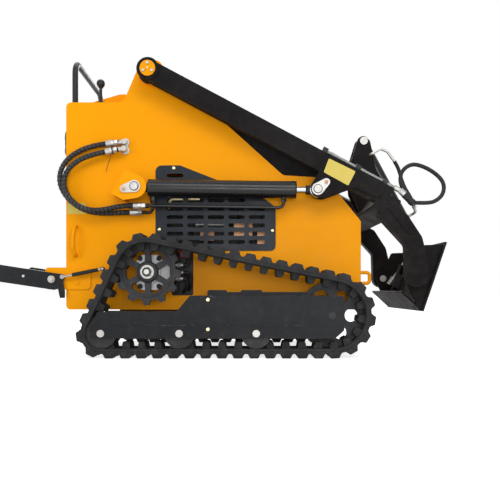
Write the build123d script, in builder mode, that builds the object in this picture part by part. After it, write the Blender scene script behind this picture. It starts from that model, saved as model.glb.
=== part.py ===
"""Stand-on compact track loader with a lift arm, quick attach and folding platform.

Millimetres. +X points forward, +Y to the left, +Z up. The origin lies on the ground, midway
along the body and on its centre plane. Paired pieces are drawn on the right and mirrored.
"""

from build123d import *
import os
from math import atan2, cos, degrees, hypot, radians, sin, tan

os.makedirs("parts", exist_ok=True)

# ---------------------------------------------------------------- driving sizes
FLAT_GAP = 0.3                      # between faces of two bodies that pass each other
RUNNING_FIT = 0.05                  # radial, pin in bore

# Rubber track: pitch, width and the wheels that it runs round
TRACK_PITCH = 72
TRACK_WIDTH = 180
BELT = 24                           # thickness of the rubber belt
TREAD = 20                          # height of the outer lugs
DRIVE_LUG = 30                      # height of the inner lugs
ROLLER_R = 68
SPROCKET_SEAT_R = 130               # belt's inner face round the sprocket
IDLER_R = 150
GROUND_CLEAR = BELT + TREAD         # belt's inner face above the ground on the lower run
ROLLER_Z = GROUND_CLEAR + ROLLER_R
ROLLER_X = (-493, -143, 200)
SPROCKET_X, SPROCKET_Z = -294, 388
IDLER_X = 541
IDLER_Z = GROUND_CLEAR + IDLER_R

# Sprocket
TEETH = 12
TOOTH_TIP_R = 151
TOOTH_ROOT_R = 128
FIRST_TOOTH = 87.5                  # degrees
SPOKES = 6
SPROCKET_WIDTH = 34

# Body
HALF_BODY = 330                     # outer face of the side panels
PANEL = 8
TRACK_CENTRE = HALF_BODY + 120      # from the centre plane
BODY_FRONT, BODY_REAR, BODY_BOTTOM = 702, -702, 213
PLATE = 6

# Lift arm
PIVOT_X, PIVOT_Z = -300, 1330
ARM_SLOPE = 28.0                    # fall of the arm tube, degrees
ARM_REACH = 1268                    # pivot to the tube's square end
ARM_DEEP, ARM_WIDE = 90, 60
ARM_IN = HALF_BODY + 32             # inner face of the arm tube
ARM_OUT = ARM_IN + ARM_WIDE
ARM_MID = (ARM_IN + ARM_OUT) / 2
DOUBLER = 8
PIVOT_PIN_R = 25
HUB_R = 52

# Lift cylinder
LIFT_BASE = (-360, 784)
LIFT_ROD_PIN = (486, 772)
LIFT_BARREL_R, LIFT_BORE_R, LIFT_ROD_R = 40, 33, 15
LIFT_PIN_R = 17.5
EYE_R = 34
EYE_WIDE = 44

# Tilt cylinder and quick attach
TILT_BASE = (767, 1081)
TILT_ROD_PIN = (1070, 518)
TILT_BARREL_R, TILT_BORE_R, TILT_ROD_R = 30, 24, 14
TILT_PIN_R = 14
TILT_EYE_R, TILT_EYE_WIDE = 25, 36
QA_HINGE = (948, 371)
QA_PIN_R = 18
QA_HALF = ARM_IN + 10
QA_SIDE = ARM_IN - 15               # outer face of the quick attach side plates
QA_TILT = 18.7                      # lean of the attach face, degrees
QA_TOP = (1100, 530)
QA_BOTTOM = (990, 205)

# Folding platform
FOLD_PIN = (-766, 357)
FOLD_PIN_R = 11
PLATFORM_OUT = HALF_BODY + 19
PLATFORM_REAR = -1100
STRUT_BASE = (-521, 406)
STRUT_EYE = (-712, 368)
STRUT_MID = HALF_BODY + 30
STRUT_R, STRUT_ROD_R = 9, 4.5



# ---------------------------------------------------------------- helpers
def save(piece, label):
    """Names a finished piece and writes its STEP file."""
    piece.label = label
    export_step(piece, f"parts/{label}.step")


def save_pair(piece, label):
    """Writes a right-hand piece and its mirror image on the left."""
    save(piece, label + "_right")
    save(mirror(piece, about=Plane.XZ), label + "_left")


def save_both(piece, label):
    """Writes a right-hand piece and its mirror image as one node."""
    save(piece + mirror(piece, about=Plane.XZ), label)


def side_plane(reach):
    """Plane of a right-hand piece: local x is +X, local y is +Z, extrusions go outward."""
    return Plane.XZ.offset(reach)


def polygon(points, radius=0):
    """Closed face of straight edges; radius is one value or one for each corner."""
    with BuildLine() as edges:
        FilletPolyline(*points, radius=radius, close=True)
    make_face(edges.edges())


def slab(points, inner, outer, radius=0, mode=Mode.ADD):
    """Right-hand plate with this side outline between two distances from the centre plane."""
    with BuildSketch(side_plane(inner)) as profile:
        polygon(points, radius)
    extrude(profile.sketch, amount=outer - inner, mode=mode)


def disc(centre, radius, inner, outer, mode=Mode.ADD):
    """Right-hand cylinder along Y."""
    with BuildSketch(side_plane(inner)) as profile:
        with Locations(centre):
            Circle(radius)
    extrude(profile.sketch, amount=outer - inner, mode=mode)


def along(start, end, distance):
    """Side-view point at a distance from start towards end."""
    reach = hypot(end[0] - start[0], end[1] - start[1])
    share = distance / reach
    return (start[0] + (end[0] - start[0]) * share, start[1] + (end[1] - start[1]) * share)


def axis_plane(start, end, reach):
    """Plane square to a side-view line at its start, a distance right of the centre plane."""
    return Plane(origin=(start[0], -reach, start[1]), x_dir=(0, 1, 0),
                 z_dir=(end[0] - start[0], 0, end[1] - start[1]))


def rod(start, end, radius, reach, mode=Mode.ADD, bore=0):
    """Round bar between two side-view points, or a tube where a bore is given."""
    with BuildSketch(axis_plane(start, end, reach)) as profile:
        Circle(radius)
        if bore:
            Circle(bore, mode=Mode.SUBTRACT)
    extrude(profile.sketch, amount=hypot(end[0] - start[0], end[1] - start[1]), mode=mode)


def hose(points, radius):
    """Tube on straight runs and arcs, each arc as large as its two runs allow."""
    route = [Vector(*point) for point in points]
    radii = []
    for before, corner, after in zip(route, route[1:], route[2:]):
        turn = (corner - before).get_angle(after - corner)
        shorter = min((corner - before).length, (after - corner).length)
        radii.append(0.45 * shorter / tan(radians(turn / 2)))
    with BuildPart() as tube:
        with BuildLine():
            path = FilletPolyline(*route, radius=radii)
        with BuildSketch(Plane(origin=path @ 0, z_dir=path % 0)):
            Circle(radius)
        sweep()
    print("hose radii", [round(r) for r in radii], "length", round(path.length),
          "volume share", round(tube.part.volume / (path.length * 3.14159 * radius**2), 4))
    return tube.part


# ---------------------------------------------------------------- rubber tracks
WHEELS = (
    (ROLLER_X[0], ROLLER_Z, ROLLER_R),
    (SPROCKET_X, SPROCKET_Z, SPROCKET_SEAT_R),
    (IDLER_X, IDLER_Z, IDLER_R),
)
PITCH_DEPTH = 7.5                   # pitch line inside the belt
LUG_ROW = 38                        # width of one row of drive lugs
LUG_ROW_IN = 22                     # from the track's middle to a row
WINDOW = 40                         # width of the openings that take the sprocket's teeth


def belt_face(lift):
    """Loop round the three wheels, this far outside them."""
    with BuildSketch(mode=Mode.PRIVATE) as loop:
        for x, z, radius in WHEELS:
            with Locations((x, z)):
                Circle(radius + lift)
        make_hull()
    return loop.sketch.face()


pitch_line = belt_face(PITCH_DEPTH).outer_wire()
LINKS = round(pitch_line.length / TRACK_PITCH)
first_lug = FIRST_TOOTH + 180 / TEETH   # a lug sits midway between two teeth
seat = SPROCKET_SEAT_R + PITCH_DEPTH
start = pitch_line.param_at_point(
    Vector(SPROCKET_X + seat * cos(radians(first_lug)), SPROCKET_Z + seat * sin(radians(first_lug)), 0)
)


def link_places(offset):
    """One place per link on the pitch line, local y across the belt."""
    places = []
    for link in range(LINKS):
        share = (start + (link + offset) / LINKS) % 1
        point, heading = pitch_line @ share, pitch_line % share
        turn = degrees(atan2(heading.Y, heading.X))
        places.append(Location((point.X, point.Y, 0), (0, 0, turn)))
    return places


probe = link_places(0)[0]
outward = 1 if (probe * Location((0, 10, 0))).position.Y > probe.position.Y else -1


def lugs(base, tip, low, high, offset):
    """Row of tapered lugs across the loop, heights measured outward from the pitch line."""
    corners = ((-base / 2, low * outward), (base / 2, low * outward),
               (tip / 2, high * outward), (-tip / 2, high * outward))
    for place in link_places(offset):
        moved = [(place * Location((x, y, 0))).position for x, y in corners]
        with BuildLine() as edges:
            Polyline(*[(p.X, p.Y) for p in moved], close=True)
        make_face(edges.edges())


SINK = 3                            # lugs start this far inside the belt
with BuildPart() as track:
    belt_in, belt_out = TRACK_CENTRE - TRACK_WIDTH / 2, TRACK_CENTRE + TRACK_WIDTH / 2
    with BuildSketch(side_plane(belt_in)):
        add(belt_face(BELT))
        lugs(56, 34, BELT - PITCH_DEPTH - SINK, BELT - PITCH_DEPTH + TREAD, 0)
        add(belt_face(0), mode=Mode.SUBTRACT)
    extrude(amount=TRACK_WIDTH)
    for row_in in (TRACK_CENTRE - LUG_ROW_IN - LUG_ROW, TRACK_CENTRE + LUG_ROW_IN):
        with BuildSketch(side_plane(row_in)):
            lugs(43, 28, SINK - PITCH_DEPTH, -PITCH_DEPTH - DRIVE_LUG, 0)
        extrude(amount=LUG_ROW)
    with BuildSketch(side_plane(TRACK_CENTRE - WINDOW / 2)):
        lugs(46, 46, -PITCH_DEPTH - 2, BELT - PITCH_DEPTH + 1, 0.5)
    extrude(amount=WINDOW, mode=Mode.SUBTRACT)
save_pair(track.part, "track")
print("track links", LINKS, "pitch", round(pitch_line.length / LINKS, 3))

# ---------------------------------------------------------------- sprockets
HUB_FACE_R = 60
with BuildPart() as sprocket:
    hub_in, hub_out = TRACK_CENTRE - SPROCKET_WIDTH / 2, TRACK_CENTRE + SPROCKET_WIDTH / 2
    with BuildSketch(side_plane(hub_in)):
        with Locations((SPROCKET_X, SPROCKET_Z)):
            Circle(TOOTH_ROOT_R)
        with Locations((SPROCKET_X, SPROCKET_Z)):
            with PolarLocations(0, TEETH, start_angle=FIRST_TOOTH):
                Polygon((TOOTH_ROOT_R - 8, -22), (TOOTH_TIP_R, -11.5), (TOOTH_TIP_R, 11.5),
                        (TOOTH_ROOT_R - 8, 22), align=None)
    extrude(amount=SPROCKET_WIDTH)
    with BuildSketch(side_plane(hub_in)):
        with Locations((SPROCKET_X, SPROCKET_Z)):
            with PolarLocations(0, SPOKES):
                Polygon((47, -10), (86, -36), (100, -22), (100, 22), (86, 36), (47, 10), align=None)
        fillet(vertices(), 8)
    extrude(amount=SPROCKET_WIDTH, mode=Mode.SUBTRACT)
    with BuildSketch(side_plane(hub_out - 5)):
        with Locations((SPROCKET_X, SPROCKET_Z)):
            Circle(108)
            Circle(42, mode=Mode.SUBTRACT)
    extrude(amount=6, mode=Mode.SUBTRACT)
    disc((SPROCKET_X, SPROCKET_Z), 36, hub_out - 6, hub_out + 10)
    disc((SPROCKET_X, SPROCKET_Z), 28, hub_out + 10, hub_out + 14)
    with BuildSketch(side_plane(hub_out + 14)):
        with Locations((SPROCKET_X, SPROCKET_Z)):
            RegularPolygon(22, 6)
            Circle(12, mode=Mode.SUBTRACT)
    extrude(amount=16)
    disc((SPROCKET_X, SPROCKET_Z), 12, hub_out + 10, hub_out + 36)
save_pair(sprocket.part, "sprocket")

# ---------------------------------------------------------------- drive motors
MOTOR_WIDE, MOTOR_TALL, MOTOR_DEEP = 122, 164, 66
with BuildPart() as motor:
    motor_at = (SPROCKET_X, SPROCKET_Z)
    with BuildSketch(side_plane(HALF_BODY)):
        with Locations(motor_at):
            RectangleRounded(MOTOR_WIDE, MOTOR_TALL, 36)
    extrude(amount=MOTOR_DEEP)
    disc(motor_at, 52, HALF_BODY + MOTOR_DEEP, hub_in)
    with BuildSketch(side_plane(HALF_BODY + 22)):
        with Locations((SPROCKET_X + MOTOR_WIDE / 2 + 18, SPROCKET_Z)):
            RectangleRounded(40, 104, 6)
    extrude(amount=MOTOR_DEEP - 30)
    with BuildSketch(side_plane(HALF_BODY + 30)):
        with Locations((SPROCKET_X + MOTOR_WIDE / 2, SPROCKET_Z)):
            Rectangle(20, 84)
    extrude(amount=MOTOR_DEEP - 46)
    with BuildSketch(side_plane(HALF_BODY + MOTOR_DEEP)):
        with Locations(motor_at):
            with GridLocations(MOTOR_WIDE - 34, MOTOR_TALL - 34, 2, 2):
                Circle(9)
    extrude(amount=7)
save_both(motor.part, "drive_motors")

# ---------------------------------------------------------------- idlers
IDLER_AXLE_R = 17
IDLER_BOSS_R = 36
with BuildPart() as idler:
    idler_at = (IDLER_X, IDLER_Z)
    rim_in, rim_out = TRACK_CENTRE - 20, TRACK_CENTRE + 20
    disc(idler_at, IDLER_R - FLAT_GAP, rim_in, rim_out)
    with BuildSketch(side_plane(rim_in)):
        with Locations(idler_at):
            with PolarLocations(94, 6, start_angle=-2):
                Circle(30)
    extrude(amount=rim_out - rim_in, mode=Mode.SUBTRACT)
    for face_in in (rim_in, rim_out - 10):
        with BuildSketch(side_plane(face_in)):
            with Locations(idler_at):
                Circle(132)
                Circle(58, mode=Mode.SUBTRACT)
        extrude(amount=10, mode=Mode.SUBTRACT)
    disc(idler_at, IDLER_BOSS_R, rim_in - 18, rim_out + 18)
    disc(idler_at, IDLER_AXLE_R, TRACK_CENTRE - 78, TRACK_CENTRE + 78)
save_both(idler.part, "idlers")

# ---------------------------------------------------------------- rollers
FLANGE_IN = LUG_ROW_IN + LUG_ROW + 2
with BuildPart() as rollers:
    for x in ROLLER_X:
        at = (x, ROLLER_Z)
        for sign in (-1, 1):
            edge = sorted((TRACK_CENTRE + sign * FLANGE_IN, TRACK_CENTRE + sign * (FLANGE_IN + 14)))
            disc(at, ROLLER_R - FLAT_GAP, *edge)
        disc(at, 34, TRACK_CENTRE - FLANGE_IN, TRACK_CENTRE + FLANGE_IN)
        disc(at, 12, TRACK_CENTRE - 78, TRACK_CENTRE + 78)
save_pair(rollers.part, "track_rollers")

# ---------------------------------------------------------------- track frames
FRAME_OUT = TRACK_CENTRE + 84
FRAME_IN = TRACK_CENTRE - 84
FRAME_TOP_REAR, FRAME_TOP_FRONT = 209, 280
STRIP_IN, STRIP_TOP = FRAME_OUT - 40, 297
CROSS_X, CROSS_TALL = (-110, 372), 60
CROSS_Z = BODY_BOTTOM - CROSS_TALL / 2
frame_outline = [
    (-545, 90), (552, 90), (592, 125), (592, FRAME_TOP_FRONT), (-97, FRAME_TOP_FRONT),
    (-156, FRAME_TOP_REAR), (-506, FRAME_TOP_REAR), (-540, 150),
]
with BuildPart() as track_frame:
    slab(frame_outline, FRAME_OUT - PLATE, FRAME_OUT, (14, 8, 10, 6, 6, 6, 6, 10))
    slab(frame_outline, FRAME_IN, FRAME_IN + PLATE, (14, 8, 10, 6, 6, 6, 6, 10))
    deck = [(-97, FRAME_TOP_FRONT), (-156, FRAME_TOP_REAR), (-430, FRAME_TOP_REAR),
            (-430, FRAME_TOP_REAR - 8), (-152, FRAME_TOP_REAR - 8), (-93, FRAME_TOP_FRONT - 8),
            (380, FRAME_TOP_FRONT - 8), (380, FRAME_TOP_FRONT)]
    slab(deck, FRAME_IN + PLATE, FRAME_OUT - PLATE)
    for x in ROLLER_X:
        disc((x, ROLLER_Z), 12 + RUNNING_FIT, FRAME_OUT - PLATE, FRAME_OUT, Mode.SUBTRACT)
        disc((x, ROLLER_Z), 12 + RUNNING_FIT, FRAME_IN, FRAME_IN + PLATE, Mode.SUBTRACT)
    for wall in (FRAME_OUT - PLATE, FRAME_IN):
        disc(idler_at, IDLER_AXLE_R + RUNNING_FIT, wall, wall + PLATE, Mode.SUBTRACT)
    disc((-15, 197), 82, FRAME_OUT, FRAME_OUT + 3)
    for z in (131, 263):
        disc((-15, z), 6, FRAME_OUT + 3, FRAME_OUT + 6)
    for x in CROSS_X:
        with BuildSketch(side_plane(HALF_BODY)):
            with Locations((x, CROSS_Z)):
                RectangleRounded(70, CROSS_TALL, 8)
        extrude(amount=FRAME_IN - HALF_BODY)
    slab([(-20, FRAME_TOP_FRONT), (435, FRAME_TOP_FRONT), (435, STRIP_TOP), (-20, STRIP_TOP)],
         STRIP_IN, STRIP_IN + PLATE)
    for start, end in ((-20, 70), (130, 230)):
        slab([(start, STRIP_TOP), (end, STRIP_TOP), (end - 6, STRIP_TOP + 9),
              (start + 6, STRIP_TOP + 9)], STRIP_IN, STRIP_IN + PLATE)
save_pair(track_frame.part, "track_frame")

with BuildPart() as roller_bolts:
    for x in ROLLER_X:
        disc((x, ROLLER_Z), 16.5, FRAME_OUT, FRAME_OUT + 7)
save_both(roller_bolts.part, "roller_bolts")

with BuildPart() as cross_tubes:
    for x in CROSS_X:
        with BuildSketch(Plane.XZ.offset(-HALF_BODY)):
            with Locations((x, CROSS_Z)):
                RectangleRounded(70, CROSS_TALL, 8)
                RectangleRounded(58, CROSS_TALL - 12, 4, mode=Mode.SUBTRACT)
        extrude(amount=2 * HALF_BODY)
save(cross_tubes.part, "cross_tubes")

# ---------------------------------------------------------------- body panels
CONSOLE_Z = 1200
CONSOLE_FOOT = CONSOLE_Z - 100
panel_points = [
    (BODY_REAR, BODY_BOTTOM), (BODY_FRONT, BODY_BOTTOM), (BODY_FRONT, 634), (536, 839),
    (474, 844), (331, 853), (193, 977), (-215, 1344), (-262, 1400), (-345, 1400),
    (-430, CONSOLE_Z), (BODY_REAR, CONSOLE_Z),
]
panel_radii = (20, 20, 14, 14, 30, 30, 30, 20, 30, 30, 40, 24)
GRILLE_PLATE = 4
grille_points = [(-276, 493), (296, 493), (296, 700), (242, 741), (-159, 899), (-276, 899)]
grille_radii = (25, 25, 12, 12, 12, 30)
with BuildPart() as panel:
    slab(panel_points, HALF_BODY - PANEL, HALF_BODY, panel_radii)
    window = [(-246, 515), (268, 515), (268, 690), (228, 716), (-163, 870), (-226, 870)]
    slab(window, HALF_BODY - PANEL, HALF_BODY, 12, Mode.SUBTRACT)
    slab([(-200, 280), (-96, 280), (-96, 488), (-200, 488)], HALF_BODY - PANEL, HALF_BODY, 10,
         Mode.SUBTRACT)
    disc((PIVOT_X, PIVOT_Z), HUB_R, HALF_BODY, ARM_IN - 5)
    disc((PIVOT_X, PIVOT_Z), PIVOT_PIN_R, ARM_IN - 5, ARM_OUT + 6)
    disc((PIVOT_X, PIVOT_Z), 36, ARM_OUT + 6, ARM_OUT + 12)
save_pair(panel.part, "side_panel")

SLOT, SLOT_TALL, COLUMN, ROW = 79, 19, 97.5, 39.5
FIRST_SLOT = (-183, 534.5)
with BuildPart() as grille:
    slab(grille_points, HALF_BODY, HALF_BODY + GRILLE_PLATE, grille_radii)
    with BuildSketch(side_plane(HALF_BODY)):
        for row, count in enumerate((5, 5, 5, 5, 5, 4, 3, 2, 1)):
            for column in range(count):
                with Locations((FIRST_SLOT[0] + COLUMN * column, FIRST_SLOT[1] + ROW * row)):
                    SlotOverall(SLOT, SLOT_TALL)
    extrude(amount=GRILLE_PLATE, mode=Mode.SUBTRACT)
save_both(grille.part, "side_grilles")

# ---------------------------------------------------------------- body shell
INSIDE = HALF_BODY - PANEL          # inner face of the side panels
FRONT_INNER, REAR_INNER = BODY_FRONT - PANEL, BODY_REAR + PANEL
WALL_FOOT = 300                     # height where the walls stand on the bent belly plate
HOOD_HALF = INSIDE - 6
HOOD_HINGE = (-196, 1316)
HINGE_PIN_R, HINGE_TUBE_R = 5, 10
HOOD_SKIN = 4


def between_panels(points, half, radius=0, mode=Mode.ADD):
    """Piece across the machine with this side outline, the same distance either way."""
    with BuildSketch(side_plane(-half)) as profile:
        polygon(points, radius)
    extrude(profile.sketch, amount=2 * half, mode=mode)


with BuildPart() as belly_plate:
    between_panels(
        [(BODY_REAR, WALL_FOOT), (BODY_REAR, BODY_BOTTOM), (BODY_FRONT, BODY_BOTTOM),
         (BODY_FRONT, WALL_FOOT), (FRONT_INNER, WALL_FOOT), (FRONT_INNER, BODY_BOTTOM + PANEL),
         (REAR_INNER, BODY_BOTTOM + PANEL), (REAR_INNER, WALL_FOOT)],
        INSIDE, (0, 20, 20, 0, 0, 12, 12, 0))
save(belly_plate.part, "belly_plate")

with BuildPart() as front_wall:
    between_panels(
        [(BODY_FRONT, WALL_FOOT), (BODY_FRONT, 634), (536, 836), (528, 831),
         (FRONT_INNER, 631), (FRONT_INNER, WALL_FOOT)], INSIDE, (0, 14, 0, 0, 8, 0))
save(front_wall.part, "front_wall")

with BuildPart() as rear_wall:
    between_panels(
        [(BODY_REAR, WALL_FOOT), (REAR_INNER, WALL_FOOT), (REAR_INNER, CONSOLE_FOOT),
         (BODY_REAR, CONSOLE_FOOT)], INSIDE)
save(rear_wall.part, "rear_wall")

with BuildPart() as tower_deck:
    between_panels(
        [(-215, 1344), (-262, 1400), (-345, 1400), (-430, CONSOLE_Z), (-422, CONSOLE_Z),
         (-340, 1392), (-266, 1392), (-221, 1339)], INSIDE, (0, 30, 24, 0, 0, 18, 22, 0))
    disc(HOOD_HINGE, HINGE_PIN_R, -INSIDE, INSIDE)
save(tower_deck.part, "tower_deck")

with BuildPart() as console:
    between_panels(
        [(BODY_REAR, CONSOLE_FOOT), (BODY_REAR, CONSOLE_Z), (-430, CONSOLE_Z),
         (-430, CONSOLE_FOOT)],
        INSIDE, (0, 18, 0, 0))
    between_panels(
        [(-640, CONSOLE_Z), (-625, CONSOLE_Z + 50), (-480, CONSOLE_Z + 92),
         (-440, CONSOLE_Z + 92), (-440, CONSOLE_Z)], 150, (0, 20, 24, 16, 0))
save(console.part, "console")

with BuildPart() as control_levers:
    for y in (-225, 225):
        with BuildSketch(Plane.XY.offset(CONSOLE_Z)):
            with Locations((-560, y)):
                Circle(34)
        extrude(amount=22, taper=18)
        with BuildSketch(Plane.XY.offset(CONSOLE_Z + 10)):
            with Locations((-560, y)):
                Circle(7)
        extrude(amount=120)
        with Locations((-560, y, CONSOLE_Z + 122)):
            Sphere(21)
save(control_levers.part, "control_levers")


def bent_bar(points, bend, radius, mode=Mode.ADD):
    """Round bar along straight runs with one bend radius."""
    with BuildLine() as line:
        path = FilletPolyline(*points, radius=bend)
    with BuildSketch(Plane(origin=path @ 0, z_dir=path % 0)) as section:
        Circle(radius)
    sweep(section.sketch, path=line.line, mode=mode)


GRAB_HALF = HALF_BODY - 45
with BuildPart() as grab_bar:
    bent_bar([(-670, -GRAB_HALF, CONSOLE_Z), (-670, -GRAB_HALF, CONSOLE_Z + 210),
              (-670, GRAB_HALF, CONSOLE_Z + 210), (-670, GRAB_HALF, CONSOLE_Z)], 60, 14)
save(grab_bar.part, "grab_bar")

with BuildPart() as thigh_pad:
    with BuildSketch(Plane.YZ.offset(BODY_REAR - FLAT_GAP)):
        with Locations((0, 1035)):
            RectangleRounded(440, 150, 30)
    extrude(amount=-48)
save(thigh_pad.part, "thigh_pad")

LOOP_R = 8.5
FRONT_LOOP = HALF_BODY - 30
with BuildPart() as tie_downs:
    bent_bar([(-655, -HALF_BODY, 470), (-655, -HALF_BODY - 22, 470),
              (-660, -HALF_BODY - 38, 512), (-660, -HALF_BODY - 38, 566),
              (-655, -HALF_BODY - 22, 607), (-655, -HALF_BODY, 607)], 16, LOOP_R)
    bent_bar([(BODY_FRONT, -FRONT_LOOP, 338), (BODY_FRONT + 47, -FRONT_LOOP, 338),
              (BODY_FRONT + 47, -FRONT_LOOP, 390), (BODY_FRONT, -FRONT_LOOP, 390)], 16, LOOP_R)
save_both(tie_downs.part, "tie_downs")

with BuildPart() as engine:
    with BuildSketch(Plane.XY.offset(BODY_BOTTOM + PANEL)):
        with Locations((150, 0)):
            Rectangle(420, 460)
    extrude(amount=40)
    with BuildSketch(Plane.XY.offset(BODY_BOTTOM + PANEL + 40)):
        with Locations((150, 0)):
            RectangleRounded(380, 380, 30)
    extrude(amount=300)
    for x in (40, 150, 260):
        with BuildSketch(Plane.XY.offset(BODY_BOTTOM + PANEL + 340)):
            with Locations((x, 0)):
                RectangleRounded(86, 300, 20)
        extrude(amount=110)
save(engine.part, "engine")

with BuildPart() as hydraulic_tank:
    with BuildSketch(Plane.XY.offset(BODY_BOTTOM + PANEL)):
        with Locations((-560, 0)):
            RectangleRounded(200, 560, 30)
    extrude(amount=560)
save(hydraulic_tank.part, "hydraulic_tank")

# ---------------------------------------------------------------- lift cylinder brackets
BRACKET_IN, BRACKET_OUT = ARM_OUT + 2, ARM_OUT + 12
base_x, base_z = LIFT_BASE
web = [(-404, 860), (-471, 753), (-412, 721), (-400, 735), (-400, 852)]
with BuildPart() as lift_bracket:
    slab([(-404, 860), (-471, 753), (-412, 721), (-346, 731), (-335, 832)],
         BRACKET_IN, BRACKET_OUT, (12, 10, 8, 0, 0))
    disc(LIFT_BASE, 54, BRACKET_IN, BRACKET_OUT)
    slab(web, HALF_BODY, BRACKET_IN, (3, 10, 6, 0, 0))
    slab([(-409, 838), (-458, 755), (-416, 731), (-408, 739)], HALF_BODY, BRACKET_IN, 3,
         Mode.SUBTRACT)
    disc(LIFT_BASE, 26, HALF_BODY, ARM_MID - EYE_WIDE / 2 - FLAT_GAP)
    disc(LIFT_BASE, 26, ARM_MID + EYE_WIDE / 2 + FLAT_GAP, BRACKET_IN)
    disc(LIFT_BASE, LIFT_PIN_R + RUNNING_FIT, HALF_BODY, BRACKET_OUT, Mode.SUBTRACT)
save_both(lift_bracket.part, "lift_brackets")


def pin_plate(pin, heading, face):
    """Teardrop plate that holds a pin, with its bolt."""
    bolt = (pin[0] + 50 * cos(radians(heading)), pin[1] + 50 * sin(radians(heading)))
    with BuildSketch(side_plane(face)) as profile:
        with Locations(pin):
            Circle(28)
        with Locations(bolt):
            Circle(17)
        make_hull()
    extrude(profile.sketch, amount=7)
    disc(bolt, 10, face + 7, face + 14)
    disc(pin, LIFT_PIN_R, face + 7, face + 12)


with BuildPart() as base_pin:
    disc(LIFT_BASE, LIFT_PIN_R, HALF_BODY, BRACKET_OUT)
    pin_plate(LIFT_BASE, 180 + 14, BRACKET_OUT)
save_both(base_pin.part, "base_pins")

# ---------------------------------------------------------------- hood
with BuildPart() as hood:
    between_panels(
        [HOOD_HINGE, (-160, 1292), (540, 887), (546, 874), (539, 848), (518, 841), (508, 812),
         (330, 826), (182, 950), (-205, 1296)], HOOD_HALF, (0, 20, 8, 0, 3, 3, 0, 30, 30, 0))
    between_panels(
        [(-188, 1304), (-160, 1287), (537, 883), (541, 874), (536, 853), (514, 846), (502, 790),
         (330, 790), (170, 920), (-225, 1270)], HOOD_HALF - HOOD_SKIN,
        (0, 16, 4, 0, 3, 3, 0, 0, 0, 0), Mode.SUBTRACT)
    disc(HOOD_HINGE, HINGE_TUBE_R, -HOOD_HALF, HOOD_HALF)
    disc(HOOD_HINGE, HINGE_PIN_R + RUNNING_FIT, -HOOD_HALF, HOOD_HALF, Mode.SUBTRACT)
save(hood.part, "hood")

# ---------------------------------------------------------------- loader arm
SIN_A, COS_A = sin(radians(ARM_SLOPE)), cos(radians(ARM_SLOPE))


def arm_point(reach, up):
    """Side-view point on the arm: along the tube from the pivot, and square to it."""
    return (PIVOT_X + reach * COS_A + up * SIN_A, PIVOT_Z - reach * SIN_A + up * COS_A)


BEAM = [(735, 690), (832, 638), (874, 718), (777, 770)]
doubler = [(518, 896), (546, 927), (800, 799), (774, 727), (650, 782), (515, 732), (462, 740),
           (454, 790)]
doubler_radii = (14, 10, 26, 26, 40, 30, 30, 24)
gusset = [(806, 690), (838, 732), (926, 566), (905, 572)]
with BuildPart() as arm:
    half = ARM_DEEP / 2
    slab([arm_point(0, -half), arm_point(ARM_REACH, -half), arm_point(ARM_REACH, half),
          arm_point(0, half)], ARM_IN, ARM_OUT)
    disc((PIVOT_X, PIVOT_Z), HUB_R, ARM_IN - 5 + FLAT_GAP, ARM_OUT + 6 - FLAT_GAP)
    slab(BEAM, ARM_IN, ARM_OUT, 8)
    slab([(763, 654), (893, 512), (897, 371), (999, 371), (989, 470), (970, 550), (903, 653),
          (815, 697)], ARM_IN, ARM_OUT, (0, 30, 0, 0, 40, 40, 30, 0))
    disc(QA_HINGE, 51, ARM_IN, ARM_OUT)
    slab(doubler, ARM_OUT, ARM_OUT + DOUBLER, doubler_radii)
    slab(doubler, ARM_IN - DOUBLER, ARM_IN, doubler_radii)
    slab(BEAM, ARM_IN - DOUBLER, ARM_IN, 8, Mode.SUBTRACT)
    slab(gusset, ARM_OUT, ARM_OUT + 6, 3)
    disc((PIVOT_X, PIVOT_Z), PIVOT_PIN_R + RUNNING_FIT, ARM_IN - 5, ARM_OUT + 6, Mode.SUBTRACT)
    disc(QA_HINGE, QA_PIN_R, QA_SIDE - 14, ARM_IN)
save_pair(arm.part, "loader_arm")

with BuildPart() as crossbeam:
    between_panels(BEAM, ARM_IN, 8)
    between_panels([(743, 691), (831, 644), (866, 715), (778, 762)], ARM_IN, 4, Mode.SUBTRACT)
save(crossbeam.part, "arm_crossbeam")

EAR_IN, EAR_OUT = 36, 48
with BuildPart() as tilt_bracket:
    for inner in (EAR_IN, -EAR_OUT):
        with BuildSketch(side_plane(inner)) as ear:
            polygon([(777, 770), (874, 718), (800, 1081), (767, 1113), (737, 1093), (690, 940),
                     (700, 810), (745, 710)], (0, 0, 24, 24, 20, 30, 30, 0))
            with Locations(TILT_BASE):
                Circle(TILT_PIN_R + RUNNING_FIT, mode=Mode.SUBTRACT)
        extrude(ear.sketch, amount=EAR_OUT - EAR_IN)
save(tilt_bracket.part, "tilt_bracket")

with BuildPart() as tilt_pin:
    disc(TILT_BASE, TILT_PIN_R, -EAR_OUT - 6, EAR_OUT + 6)
    for inner in (TILT_EYE_WIDE / 2 + FLAT_GAP, -EAR_IN):
        disc(TILT_BASE, 22, inner, inner + EAR_IN - TILT_EYE_WIDE / 2 - FLAT_GAP)
    for inner in (EAR_OUT, -EAR_OUT - 6):
        disc(TILT_BASE, 20, inner, inner + 6)
save(tilt_pin.part, "tilt_pin")

LINE_RUN = 363
LINE_UP = ARM_DEEP / 2 + 9           # arm lines above the tube's axis
AUX_REACH = ARM_MID + 12
with BuildPart() as arm_lines:
    for up, reach in ((LINE_UP, AUX_REACH), (LINE_UP, 2 * ARM_MID - AUX_REACH)):
        rod(arm_point(ARM_REACH - LINE_RUN, up), arm_point(ARM_REACH, up), 8, reach)
        for back in (338, 178, 38):
            rod(arm_point(ARM_REACH - back, up), arm_point(ARM_REACH - back + 20, up), 9, reach)
save_both(arm_lines.part, "arm_lines")

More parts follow.
